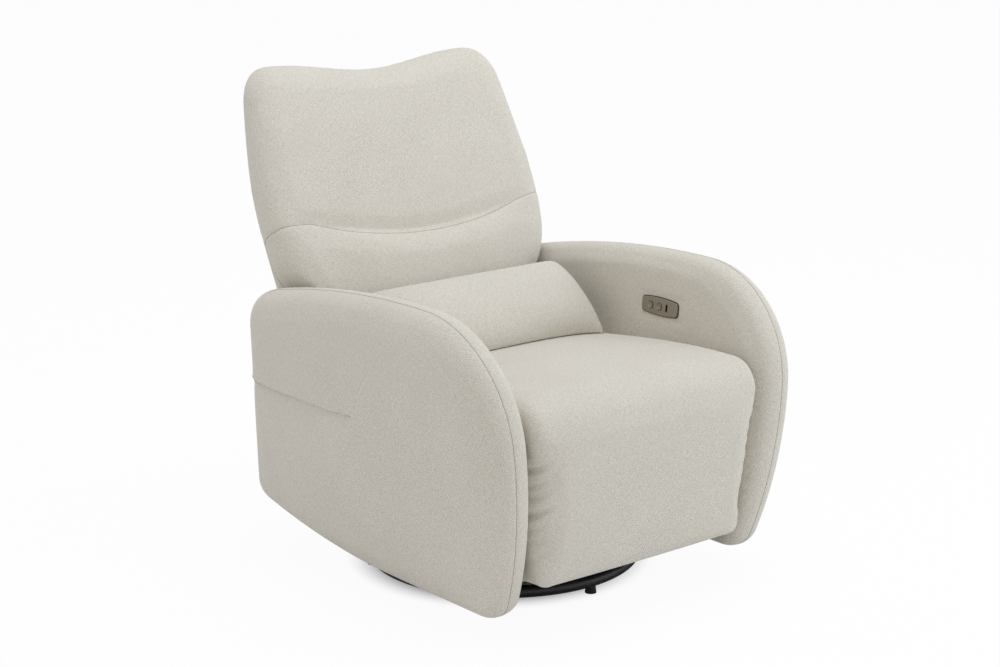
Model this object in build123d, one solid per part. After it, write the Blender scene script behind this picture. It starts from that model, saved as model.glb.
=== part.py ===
from build123d import *
import os
from math import atan2, cos, degrees, hypot, radians, sin, sqrt

# Power swivel glider recliner. Millimetres, +Z up, front of the chair towards -Y.
# The origin is on the floor under the middle of the chair's box.

# Floor base and swivel
SWIVEL_Y = -18.0
RING_RADIUS = 278.0
RING_TUBE_RADIUS = 12.5
FOOT_HEIGHT = 12.0
FOOT_RADIUS = 12.0
FOOT_COUNT = 6
FOOT_GRIP = 4.0
FOOT_TAPER = 2.0
SPOKE_WIDTH = 30.0
SPOKE_HEIGHT = 20.0
SPOKE_WALL = 2.5
SPOKE_START = 36.0
HUB_RADIUS = 100.0
PLATE_THICK = 5.0
RACE_INNER = 62.0
RACE_OUTER = 94.0
RACE_THICK = 4.0
SLIDE_INSET = 5.0
KING_PIN_RADIUS = 8.0
KING_HEAD_RADIUS = 15.0
KING_HEAD_THICK = 7.0
SWIVEL_PLATE_RADIUS = 112.0
CLEARANCE = 0.3
RUNNING = 0.06
TOUCH = 0.1
BEYOND = 400.0

# Glide linkage
GLIDE_SPREAD = 90.0
GLIDE_TOP_Z = 225.0
GLIDE_LENGTH = 120.0
GLIDE_BAR = 25.0
STAND_INNER_X = 122.0
STAND_WIDTH = 40.0
LINK_GAP = 4.0
LINK_THICK = 5.0
LINK_WIDTH = 26.0
GLIDE_PIN_RADIUS = 5.0
GLIDE_HEAD_RADIUS = 9.0
GLIDE_HEAD_THICK = 2.5
HANGER_GAP = 5.0
HANGER_REACH = 205.0
HANGER_CORNER = 11.8
CROSS_TUBE = 30.0
CROSS_TUBE_OFFSET = 190.0
CROSS_TUBE_WALL = 2.5
HANGER_HOLE_RADIUS = 34.0

# Seat box
BOX_BOTTOM_Z = 262.0
BOX_TOP_Z = 392.0
LOW_RAIL_TOP_Z = 312.0
RAIL_INSET = 28.0
RAIL_THICK = 22.0
BOX_FRONT_Y = -378.0
BOX_STEP_Y = 130.0
BOX_REAR_Y = 343.0
WEB_THICK = 2.0
WEB_WIDTH = 55.0
WEB_ROWS_Y = (-290.0, -200.0, -110.0, -20.0, 70.0)
WEB_COLUMNS_X = (-190.0, -110.0, 110.0, 190.0)
REAR_PANEL_THICK = 18.0
REAR_PANEL_ROUND = 6.0
REAR_PANEL_BOTTOM_Z = 112.0
REAR_PANEL_TOP_Z = 350.0
REAR_PANEL_ARM_GAP = 8.0
INLET_X = 150.0
INLET_Z = 150.0
INLET_RADIUS = 8.0
INLET_FLANGE = 12.0
INLET_FLANGE_THICK = 2.0
INLET_DEPTH = 8.0
INLET_WALL = 3.0
INLET_WELL = 4.0
INLET_PIN_RADIUS = 1.5

# Seat cushion and knee
SEAT_HALF_WIDTH = 264.0
SEAT_TOP_Z = 487.0
SEAT_REAR_TOP_Z = 446.0
SEAT_FRONT_Y = -402.0
SEAT_REAR_Y = 130.0
SEAT_EDGE_RADIUS = 26.0
KNEE_RADIUS = 51.0
KNEE_Y = -433.0
KNEE_GAP = 1.0
LEVER_RELIEF = 5.0
LEVER_RELIEF_DEPTH = 34.0

# Legrest
LEGREST_TRAVEL = 80.0
LEGREST_INSET = 6.0
LEGREST_BOTTOM_Z = 102.0
LEGREST_BOTTOM_Y = -445.0
LEGREST_BACK_Y = -405.0
LEGREST_FRONT_BOW = 9.0
LEGREST_WING_REACH = 4.0
LEGREST_WING_THICK = 19.0
BOARD_THICK = 12.0
BOARD_BOTTOM_Z = 128.0
BOARD_TOP_Z = 384.0
BOARD_NOTCH_GAP = 4.0
BRACKET_THICK = 4.0
LEGREST_BRACKET_GAP = 2.0
LEGREST_BRACKET_WIDTH = 34.0
TORQUE_TUBE_RADIUS = 12.5
TORQUE_TUBE_WALL = 2.5
LEVER_RADIUS = 110.0
LEVER_THICK = 6.0
LEVER_WIDTH = 33.0
LEVER_SLOT = 14.8
LEVER_END = 10.0
LEVER_ROOM = 1.0
LEVER_NOTCH_GAP = 6.0

# Mechanism plates and pivots
MECH_PLATE_GAP = 10.0
MECH_PLATE_WIDTH = 56.0
MECH_EAR_WIDTH = 46.0
MECH_FRONT_Y = -320.0
MECH_REAR_Y = 196.0
MECH_Z = 356.0
PIVOT_RADIUS = 6.0
PIVOT_HEAD_RADIUS = 10.0
PIVOT_HEAD_THICK = 4.0
PIVOT_REACH = 6.0
SLOT_PLAY = 1.0
SPACER_RADIUS = 9.0
SPACER_Z = 371.0
SPACER_YS = (-300.0, -130.0, 60.0)
BOLT_RADIUS = 4.0
BOLT_HEAD_RADIUS = 8.0
BOLT_HEAD_THICK = 4.0
BOLT_REACH = 30.0

# Actuator
ACTUATOR_FIT = 0.965
ROD_RADIUS = 9.0
ROD_TAIL_Y = 20.0
ROD_WEB = 32.0
ROD_WEB_LENGTH = 18.0
FORK_CHEEK = 5.0
FORK_HEIGHT = 20.0
FORK_GAP = 1.5
FORK_PIN_RADIUS = 4.0
FORK_PIN_HEAD = 2.0
TUBE_RADIUS = 18.0
TUBE_FRONT_Y = -215.0
GEARBOX_FRONT_Y = 32.0
GEARBOX_REAR_Y = 92.0
GEARBOX_HALF = 32.0
GEARBOX_ROUND = 8.0
MOTOR_RADIUS = 27.0
MOTOR_DROP = 88.0
MOTOR_CHAMFER = 4.0
MOTOR_COLLAR = 3.0
MOTOR_COLLAR_HEIGHT = 10.0
MOUNT_WIDTH = 40.0
MOUNT_WALL = 5.0

# Backrest
RECLINE_TRAVEL = 40.0
RECLINE_Y = 240.0
RECLINE_Z = 420.0
BACK_LEAN = 13.53
BACK_COVER_THICK = 12.0
BACK_FRAME_THICK = 40.0
BACK_FOOT_DEPTH = 99.0
BACK_SKIRT_SWEEP = 44.0
SKIRT_GAP = 2.0
BACK_WAIST_INSET = 12.0
BACK_WAIST_TOP = 128.0
BACK_LOW_HALF = 288.0
BACK_ARM_HALF = 306.0
BACK_ARM_T = 172.0
BACK_WIDE_HALF = 327.0
BACK_WIDE_T = 350.0
BACK_SHOULDER_HALF = 312.0
BACK_SHOULDER_T = 505.0
BACK_HORN_HALF = 258.0
BACK_HORN_T = 606.0
BACK_DIP_T = 577.0
BACK_FRONT_LOW = (141.0, 425.0)
BACK_FRONT_MID = (192.0, 570.0)
BACK_FRONT_SEAM = (243.0, 668.0)
BACK_FRONT_HIGH = (354.0, 910.0)
BACK_FRONT_TOP = (412.0, 1030.0)
BACK_OVERSHOOT = 40.0
SEAM_SIDE_T = 308.0
SEAM_DIP = 90.0
SEAM_GAP = 0.6
STILE_WIDTH = 24.0
STILE_BOTTOM_T = 6.0
STILE_TOP_T = 545.0
BACK_RAIL_WIDTH = 50.0
BACK_RAIL_TS = (60.0, 300.0, 510.0)
BACK_WEB_TS = (140.0, 210.0, 390.0, 450.0)
BACK_BRACKET_STEP = 2.0
BRACKET_BOLT_TS = (50.0, 105.0)
RECLINE_LEVER = 80.0
RECLINE_LINK_LENGTH = 300.0
RECLINE_LINK_WIDTH = 24.0
RECLINE_ARM_WIDTH = 30.0
RECLINE_PIN_RADIUS = 4.0
RECLINE_HEAD_THICK = 2.0
RECLINE_SLOT_WIDTH = 15.0

# Arms
ARM_ROOM = 84.5
ARM_REF_Z = 357.0
ARM_LEAN = 0.088
ARM_HALF = 51.0
ARM_FRONT_Y = -478.0
ARM_TOP_Z = 637.0
ARM_NOSE_RADIUS = 240.0
ARM_BOTTOM_Z = 50.0
ARM_TOE_Y = -412.0
ARM_SHIN_BOW = 19.0
ARM_HEEL_Y = -100.0
ARM_HEEL_RISE = 66.0
ARM_REAR_TOP_Y = 342.0
ARM_REAR_TOP_Z = 568.0
ARM_REAR_BOTTOM_Y = 380.0
ARM_TOP_BOW = 20.0
ARM_REAR_TOP_RADIUS = 80.0
ARM_CORNER_RADIUS = 58.0
ARM_EDGE_RADIUS = 46.0
ARM_FRAME_INSET = 52.0
ARM_FRAME_THICK = 18.0
ARM_WINDOW = 84.0
ARM_WINDOW_RADIUS = 18.0
ARM_WINDOW_YS = (-250.0, -130.0, -10.0, 110.0)
ARM_WINDOW_ZS = (190.0, 460.0)
CLEAT_YS = (-240.0, 210.0)
CLEAT_LENGTH = 60.0
CLEAT_BOTTOM_Z = 266.0
CLEAT_TOP_Z = 304.0
POCKET_FRONT_Y = -37.0
POCKET_Z = 393.0
POCKET_HEIGHT = 3.0
POCKET_DEPTH = 12.0

# Controls on the inner face of one arm
CONTROL_Y = -158.0
CONTROL_Z = 519.0
CONTROL_LENGTH = 105.0
CONTROL_HEIGHT = 37.0
CONTROL_BOW = 4.0
CONTROL_CORNER = 6.0
CONTROL_PROUD = 3.0
CONTROL_CHAMFER = 1.0
HOUSING_LENGTH = 88.0
HOUSING_HEIGHT = 26.0
HOUSING_DEPTH = 26.0
HOUSING_WALL = 2.0
BUTTON_OFFSETS = (-26.0, 0.0)
BUTTON_RADIUS = 7.0
BUTTON_PROUD = 2.2
BUTTON_TRAVEL = 1.5
BUTTON_ROUND = 1.2
BUTTON_STEM_RADIUS = 4.5
BUTTON_DEPTH = 9.0
SOCKET_OFFSET = 22.0
SOCKET_WIDTH = 6.0
SOCKET_HEIGHT = 16.0
SOCKET_SLOT = (3.0, 12.0)
SOCKET_SLOT_DEPTH = 2.5

# Loose pillow
PILLOW_INSET = 10.0
PILLOW_CENTRE = (46.0, 519.0)
PILLOW_LONG = 118.0
PILLOW_SHORT = 60.0
PILLOW_TILT = 39.0
PILLOW_GAP = 0.8

# Worked-out places
RING_Z = FOOT_HEIGHT + RING_TUBE_RADIUS
SPOKE_TOP_Z = RING_Z + SPOKE_HEIGHT / 2
HUB_TOP_Z = SPOKE_TOP_Z + PLATE_THICK
RACE_TOP_Z = HUB_TOP_Z + RACE_THICK
SLIDE_TOP_Z = RACE_TOP_Z + RACE_THICK
SWIVEL_BOTTOM_Z = SLIDE_TOP_Z + CLEARANCE
SWIVEL_TOP_Z = SWIVEL_BOTTOM_Z + PLATE_THICK
STAND_OUTER_X = STAND_INNER_X + PLATE_THICK
LINK_X = STAND_OUTER_X + LINK_GAP
LINK_OUTER_X = LINK_X + LINK_THICK
HANGER_X = LINK_OUTER_X + HANGER_GAP
HANGER_OUTER_X = HANGER_X + PLATE_THICK
GLIDE_LOW_Z = GLIDE_TOP_Z - GLIDE_LENGTH
GLIDE_YS = (SWIVEL_Y - GLIDE_SPREAD, SWIVEL_Y + GLIDE_SPREAD)
CROSS_BOTTOM_Z = BOX_BOTTOM_Z - CROSS_TUBE
RAIL_INNER_X = SEAT_HALF_WIDTH - RAIL_INSET
RAIL_OUTER_X = RAIL_INNER_X + RAIL_THICK
LEGREST_HALF_WIDTH = SEAT_HALF_WIDTH - LEGREST_INSET
LEGREST_WING_HALF = SEAT_HALF_WIDTH + LEGREST_WING_REACH
LEGREST_BRACKET_X = SEAT_HALF_WIDTH + LEGREST_BRACKET_GAP
RECLINE_LINK_X = LEGREST_BRACKET_X - BRACKET_THICK
BACK_BRACKET_X = LEGREST_BRACKET_X + BACK_BRACKET_STEP
MECH_PLATE_X = LEGREST_BRACKET_X + MECH_PLATE_GAP
STILE_OUTER_X = BACK_BRACKET_X
BACK_WAIST_HALF = STILE_OUTER_X - BACK_WAIST_INSET
PILLOW_HALF_WIDTH = SEAT_HALF_WIDTH - PILLOW_INSET
ARM_X = SEAT_HALF_WIDTH + ARM_ROOM
SEAT_BOTTOM_Z = BOX_TOP_Z + 2 * WEB_THICK
KNEE_Z = SEAT_TOP_Z - KNEE_RADIUS
KNEE = (KNEE_Y, KNEE_Z)
RECLINE = (RECLINE_Y, RECLINE_Z)
LEVER_HALF_SWEEP = radians(LEGREST_TRAVEL / 2)
LEVER_TIP = (
    KNEE_Y + LEVER_RADIUS * sin(LEVER_HALF_SWEEP),
    KNEE_Z - LEVER_RADIUS * cos(LEVER_HALF_SWEEP),
)
LEVER_SHORT = LEVER_RADIUS * cos(LEVER_HALF_SWEEP)
ROD_Z = LEVER_TIP[1]
ROD_PIN_Y = KNEE_Y + ACTUATOR_FIT * LEVER_RADIUS * sin(LEVER_HALF_SWEEP)
ROD_STROKE = 2 * (ROD_PIN_Y - KNEE_Y)
RECLINE_HALF_SWEEP = radians(RECLINE_TRAVEL / 2)
RECLINE_TIP = (
    RECLINE_Y + RECLINE_LEVER * sin(RECLINE_HALF_SWEEP),
    RECLINE_Z - RECLINE_LEVER * cos(RECLINE_HALF_SWEEP),
)
RECLINE_FRONT = (RECLINE_TIP[0] - RECLINE_LINK_LENGTH, RECLINE_TIP[1])
RECLINE_SWING = 2 * RECLINE_LEVER * sin(RECLINE_HALF_SWEEP)
RECLINE_DIP = RECLINE_LEVER * (1 - cos(RECLINE_HALF_SWEEP))
BACK_RAD = radians(BACK_LEAN)
SKIRT_RAD = radians(BACK_SKIRT_SWEEP)
BACK_REAR_Y = KNEE_RADIUS - KNEE_Y - BACK_HORN_T * sin(BACK_RAD)
BACK_PLANE = Plane(
    origin=(0, BACK_REAR_Y, RECLINE_Z), x_dir=(1, 0, 0), z_dir=(0, -cos(BACK_RAD), sin(BACK_RAD))
)
FRAME_FRONT_N = BACK_COVER_THICK + BACK_FRAME_THICK
ARM_TILT = Vector(1, 0, -ARM_LEAN).normalized()
ARM_PLANE = Plane(origin=(ARM_X, 0, ARM_REF_Z), x_dir=(0, 1, 0), z_dir=ARM_TILT)
MIN_ALIGN = (Align.CENTER, Align.CENTER, Align.MIN)
PARTS = {}


def block(x0, x1, y0, y1, z0, z1):
    """Box between two corners."""
    return Pos((x0 + x1) / 2, (y0 + y1) / 2, (z0 + z1) / 2) * Box(x1 - x0, y1 - y0, z1 - z0)


def disc(point, radius):
    """Flat circle at a (y, z) or (x, y) point."""
    return Pos(point[0], point[1]) * Circle(radius)


def bar(start, end, width):
    """Flat bar with round ends between two points."""
    run = (end[0] - start[0], end[1] - start[1])
    middle = Pos((start[0] + end[0]) / 2, (start[1] + end[1]) / 2)
    return middle * Rot(0, 0, degrees(atan2(run[1], run[0]))) * SlotCenterToCenter(hypot(*run), width)


def side_plate(face, x0, x1):
    """Plate whose outline is drawn in (y, z), from x0 to x1."""
    return extrude(Plane.YZ.offset(x0) * face, amount=x1 - x0)


def rod_x(point, radius, x0, x1):
    """Round bar along X through a (y, z) point."""
    return side_plate(disc(point, radius), x0, x1)


def rod_y(x, z, radius, y0, y1):
    """Round bar along Y."""
    return Plane((x, y0, z), z_dir=(0, 1, 0)) * Cylinder(radius, y1 - y0, align=MIN_ALIGN)


def rod_z(x, y, radius, z0, z1):
    """Round bar along Z."""
    return Pos(x, y, z0) * Cylinder(radius, z1 - z0, align=MIN_ALIGN)


def other_side(shape):
    """Mirror image across the chair's middle plane."""
    return mirror(shape, about=Plane.YZ)


def both_sides(*shapes):
    """The shapes and their mirror images, as separate solids."""
    return [side for shape in shapes for side in (shape, other_side(shape))]


def keep(name, *shapes):
    """Store one node, as the separate solids of its shapes."""
    solids = [solid for shape in shapes for solid in shape.solids()]
    PARTS[name] = solids[0] if len(solids) == 1 else Compound(solids)


def make_floor_base():
    """Ring, spokes, hub and the fixed half of the swivel."""
    ring = Pos(0, SWIVEL_Y, RING_Z) * Torus(RING_RADIUS, RING_TUBE_RADIUS)
    keep("base_ring", ring)
    spoke = block(
        SPOKE_START, RING_RADIUS, -SPOKE_WIDTH / 2, SPOKE_WIDTH / 2, RING_Z - SPOKE_HEIGHT / 2, SPOKE_TOP_Z
    )
    bore_half = SPOKE_WIDTH / 2 - SPOKE_WALL
    bore_tall = SPOKE_HEIGHT / 2 - SPOKE_WALL
    spoke -= block(SPOKE_START, RING_RADIUS, -bore_half, bore_half, RING_Z - bore_tall, RING_Z + bore_tall)
    spokes = [Pos(0, SWIVEL_Y, 0) * Rot(0, 0, angle) * spoke - ring for angle in (45, 135, 225, 315)]
    keep("base_spokes", *spokes)
    bore = rod_z(0, SWIVEL_Y, KING_PIN_RADIUS + RUNNING, 0, 2 * SWIVEL_TOP_Z)
    keep("base_hub", rod_z(0, SWIVEL_Y, HUB_RADIUS, SPOKE_TOP_Z, HUB_TOP_Z) - bore)
    eye = rod_z(0, SWIVEL_Y, RACE_INNER, 0, 2 * SWIVEL_TOP_Z)
    keep("bearing_race", rod_z(0, SWIVEL_Y, RACE_OUTER, HUB_TOP_Z, RACE_TOP_Z) - eye)
    slide = rod_z(0, SWIVEL_Y, RACE_OUTER - SLIDE_INSET, RACE_TOP_Z, SLIDE_TOP_Z)
    keep("bearing_ring", slide - rod_z(0, SWIVEL_Y, RACE_INNER + SLIDE_INSET, 0, 2 * SWIVEL_TOP_Z))
    pin = rod_z(0, SWIVEL_Y, KING_PIN_RADIUS, SPOKE_TOP_Z, SWIVEL_TOP_Z + CLEARANCE)
    head = rod_z(0, SWIVEL_Y, KING_HEAD_RADIUS, SPOKE_TOP_Z - KING_HEAD_THICK, SPOKE_TOP_Z)
    nut_plane = Plane((0, SWIVEL_Y, SWIVEL_TOP_Z + CLEARANCE))
    nut = extrude(nut_plane * RegularPolygon(KING_HEAD_RADIUS, 6), amount=KING_HEAD_THICK)
    keep("king_pin", pin + head + nut)
    feet = []
    for index in range(FOOT_COUNT):
        turn = Pos(0, SWIVEL_Y, 0) * Rot(0, 0, -90 + index * 360 / FOOT_COUNT)
        foot = Pos(RING_RADIUS, 0, 0) * Cone(
            FOOT_RADIUS, FOOT_RADIUS - FOOT_TAPER, FOOT_HEIGHT + FOOT_GRIP, align=MIN_ALIGN
        )
        feet.append(turn * foot - ring)
    keep("floor_feet", *feet)


def make_turntable():
    """Swivel plate with the bars and stands that the glide links hang from."""
    bore = rod_z(0, SWIVEL_Y, KING_PIN_RADIUS + RUNNING, 0, 2 * SWIVEL_TOP_Z)
    keep("swivel_plate", rod_z(0, SWIVEL_Y, SWIVEL_PLATE_RADIUS, SWIVEL_BOTTOM_Z, SWIVEL_TOP_Z) - bore)
    bars = []
    stands = []
    pins = []
    for y in GLIDE_YS:
        half = GLIDE_BAR / 2
        bars.append(
            block(-STAND_INNER_X, STAND_INNER_X, y - half, y + half, SWIVEL_TOP_Z, SWIVEL_TOP_Z + GLIDE_BAR)
        )
        half_stand = STAND_WIDTH / 2
        low = Pos(y, (SWIVEL_TOP_Z + GLIDE_TOP_Z) / 2) * Rectangle(STAND_WIDTH, GLIDE_TOP_Z - SWIVEL_TOP_Z)
        outline = low + disc((y, GLIDE_TOP_Z), half_stand) - disc((y, GLIDE_TOP_Z), GLIDE_PIN_RADIUS)
        stands += both_sides(side_plate(outline, STAND_INNER_X, STAND_OUTER_X))
        top = (y, GLIDE_TOP_Z)
        shaft = rod_x(top, GLIDE_PIN_RADIUS, STAND_INNER_X, LINK_OUTER_X + CLEARANCE)
        rivet = rod_x(top, GLIDE_HEAD_RADIUS, STAND_INNER_X - GLIDE_HEAD_THICK, STAND_INNER_X)
        collar = rod_x(top, GLIDE_HEAD_RADIUS, STAND_OUTER_X, LINK_X - CLEARANCE)
        head_x = LINK_OUTER_X + CLEARANCE
        head = rod_x(top, GLIDE_HEAD_RADIUS, head_x, head_x + GLIDE_HEAD_THICK)
        pins += both_sides(shaft + rivet + collar + head)
    keep("glide_cross_bars", *bars)
    keep("glide_stands", *stands)
    keep("upper_glide_pins", *pins)


def make_glide_links():
    """Hanging links, front pair and rear pair."""
    for name, y in zip(("front_glide_links", "rear_glide_links"), GLIDE_YS):
        top = (y, GLIDE_TOP_Z)
        low = (y, GLIDE_LOW_Z)
        hole = GLIDE_PIN_RADIUS + RUNNING
        outline = bar(low, top, LINK_WIDTH) - disc(top, hole) - disc(low, hole)
        keep(name, *both_sides(side_plate(outline, LINK_X, LINK_OUTER_X)))


def make_glide_carriage():
    """Hanger plates, lower pins and cross tubes under the seat box."""
    low_y = GLIDE_SPREAD + LINK_WIDTH / 2
    toe_z = GLIDE_LOW_Z - LINK_WIDTH / 2
    reach = HANGER_REACH
    corners = [(-low_y, toe_z), (low_y, toe_z), (reach, CROSS_BOTTOM_Z), (-reach, CROSS_BOTTOM_Z)]
    outline = Pos(SWIVEL_Y, 0) * make_face(Polyline(*corners, close=True))
    outline = fillet(outline.vertices().group_by(Axis.Y)[0], HANGER_CORNER)
    hole_z = (toe_z + CROSS_BOTTOM_Z) / 2
    for step in (-1, 0, 1):
        outline -= disc((SWIVEL_Y + step * GLIDE_SPREAD, hole_z), HANGER_HOLE_RADIUS)
    pins = []
    for y in GLIDE_YS:
        low = (y, GLIDE_LOW_Z)
        outline -= disc(low, GLIDE_PIN_RADIUS)
        shaft = rod_x(low, GLIDE_PIN_RADIUS, LINK_X - CLEARANCE, HANGER_OUTER_X)
        rivet = rod_x(low, GLIDE_HEAD_RADIUS, HANGER_OUTER_X, HANGER_OUTER_X + GLIDE_HEAD_THICK)
        collar = rod_x(low, GLIDE_HEAD_RADIUS, LINK_OUTER_X + CLEARANCE, HANGER_X)
        head_x = LINK_X - CLEARANCE
        head = rod_x(low, GLIDE_HEAD_RADIUS, head_x - GLIDE_HEAD_THICK, head_x)
        pins += both_sides(shaft + rivet + collar + head)
    keep("glide_hangers", *both_sides(side_plate(outline, HANGER_X, HANGER_OUTER_X)))
    keep("lower_glide_pins", *pins)
    tubes = []
    for y in (SWIVEL_Y - CROSS_TUBE_OFFSET, SWIVEL_Y + CROSS_TUBE_OFFSET):
        half = CROSS_TUBE / 2
        bore = half - CROSS_TUBE_WALL
        tube = block(-RAIL_OUTER_X, RAIL_OUTER_X, y - half, y + half, CROSS_BOTTOM_Z, BOX_BOTTOM_Z)
        middle_z = CROSS_BOTTOM_Z + half
        tubes.append(
            tube
            - block(-RAIL_OUTER_X, RAIL_OUTER_X, y - bore, y + bore, middle_z - bore, middle_z + bore)
        )
    keep("cross_tubes", *tubes)


def mech_bolt_holes(radius):
    """Round bars along the bolts that hold the mechanism plates."""
    x0 = RAIL_INNER_X - BOLT_REACH
    x1 = MECH_PLATE_X + BOLT_REACH
    return [rod_x((y, SPACER_Z), radius, x0, x1) for y in SPACER_YS]


def cleat_bolt(y):
    """Centre of an arm cleat in (y, z)."""
    return (y, (CLEAT_BOTTOM_Z + CLEAT_TOP_Z) / 2)


def make_seat_box():
    """Wooden rails, elastic webbing and the upholstered rear panel."""
    corners = [
        (BOX_FRONT_Y, BOX_BOTTOM_Z),
        (BOX_REAR_Y, BOX_BOTTOM_Z),
        (BOX_REAR_Y, LOW_RAIL_TOP_Z),
        (BOX_STEP_Y, LOW_RAIL_TOP_Z),
        (BOX_STEP_Y, BOX_TOP_Z),
        (BOX_FRONT_Y, BOX_TOP_Z),
    ]
    side = side_plate(make_face(Polyline(*corners, close=True)), RAIL_INNER_X, RAIL_OUTER_X)
    for hole in mech_bolt_holes(BOLT_RADIUS):
        side -= hole
    for y in CLEAT_YS:
        side -= rod_x(cleat_bolt(y), BOLT_RADIUS, RAIL_INNER_X, RAIL_OUTER_X)
    keep("side_rails", *both_sides(side))
    inner = RAIL_INNER_X
    front = block(-inner, inner, BOX_FRONT_Y, BOX_FRONT_Y + RAIL_THICK, BOX_BOTTOM_Z, BOX_TOP_Z)
    notch_half = LEVER_THICK / 2 + FORK_CHEEK + LEVER_NOTCH_GAP
    notch_z = KNEE_Z - LEVER_RADIUS - LEVER_END - LEVER_WIDTH / 2
    notch = block(-notch_half, notch_half, BOX_FRONT_Y, BOX_FRONT_Y + RAIL_THICK, notch_z, BOX_TOP_Z)
    middle = block(-inner, inner, BOX_STEP_Y - RAIL_THICK, BOX_STEP_Y, BOX_BOTTOM_Z, BOX_TOP_Z)
    rear = block(-inner, inner, BOX_REAR_Y - RAIL_THICK, BOX_REAR_Y, BOX_BOTTOM_Z, LOW_RAIL_TOP_Z)
    keep("cross_rails", front - notch, middle, rear)
    half = WEB_WIDTH / 2
    mid_z = BOX_TOP_Z + WEB_THICK
    straps = [block(x - half, x + half, BOX_FRONT_Y, BOX_STEP_Y, BOX_TOP_Z, mid_z) for x in WEB_COLUMNS_X]
    outer = RAIL_OUTER_X
    straps += [block(-outer, outer, y - half, y + half, mid_z, mid_z + WEB_THICK) for y in WEB_ROWS_Y]
    keep("seat_webbing", *straps)
    rear = BOX_REAR_Y + REAR_PANEL_THICK
    low, high = [
        ARM_X + ARM_LEAN * (z - ARM_REF_Z) - ARM_HALF / ARM_TILT.X - REAR_PANEL_ARM_GAP
        for z in (REAR_PANEL_BOTTOM_Z, REAR_PANEL_TOP_Z)
    ]
    corners = [
        (-low, REAR_PANEL_BOTTOM_Z),
        (low, REAR_PANEL_BOTTOM_Z),
        (high, REAR_PANEL_TOP_Z),
        (-high, REAR_PANEL_TOP_Z),
    ]
    panel_plane = Plane((0, BOX_REAR_Y, 0), x_dir=(1, 0, 0), z_dir=(0, -1, 0))
    panel = extrude(panel_plane * make_face(Polyline(*corners, close=True)), amount=-REAR_PANEL_THICK)
    panel = fillet(panel.edges().group_by(Axis.Y)[-1], REAR_PANEL_ROUND)
    socket = rod_y(INLET_X, INLET_Z, INLET_RADIUS, BOX_REAR_Y - INLET_DEPTH, rear)
    keep("rear_panel", panel - rod_y(INLET_X, INLET_Z, INLET_RADIUS, BOX_REAR_Y, rear))
    lip = rear + INLET_FLANGE_THICK
    flange = rod_y(INLET_X, INLET_Z, INLET_FLANGE, rear, lip)
    well = rod_y(INLET_X, INLET_Z, INLET_RADIUS - INLET_WALL, rear - INLET_WELL, lip)
    contact = rod_y(INLET_X, INLET_Z, INLET_PIN_RADIUS, rear - INLET_WELL, rear)
    keep("power_inlet", socket + flange - well + contact)


def make_seat_cushion():
    """Seat foam, hollowed at the front around the knee roll."""
    corners = [
        (SEAT_FRONT_Y, SEAT_BOTTOM_Z),
        (SEAT_REAR_Y, SEAT_BOTTOM_Z),
        (SEAT_REAR_Y, SEAT_REAR_TOP_Z),
        (SEAT_FRONT_Y, SEAT_TOP_Z),
    ]
    foam = side_plate(make_face(Polyline(*corners, close=True)), -SEAT_HALF_WIDTH, SEAT_HALF_WIDTH)
    long_edges = foam.edges().filter_by(lambda e: e.length > SEAT_REAR_Y - SEAT_FRONT_Y)
    top_edges = long_edges.filter_by(lambda e: abs(e.center().X) > TOUCH and e.center().Z > SEAT_REAR_TOP_Z)
    side_edges = top_edges.filter_by(lambda e: abs(e.tangent_at(0).X) < TOUCH)
    foam = fillet(side_edges, SEAT_EDGE_RADIUS)
    foam -= rod_x(KNEE, KNEE_RADIUS + KNEE_GAP, -SEAT_HALF_WIDTH, SEAT_HALF_WIDTH)
    wide = LEVER_THICK / 2 + LEVER_RELIEF
    deep = LEVER_RELIEF_DEPTH
    foam -= block(-wide, wide, SEAT_FRONT_Y, SEAT_FRONT_Y + deep, SEAT_BOTTOM_Z, SEAT_BOTTOM_Z + deep)
    keep("seat_cushion", foam)


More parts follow.
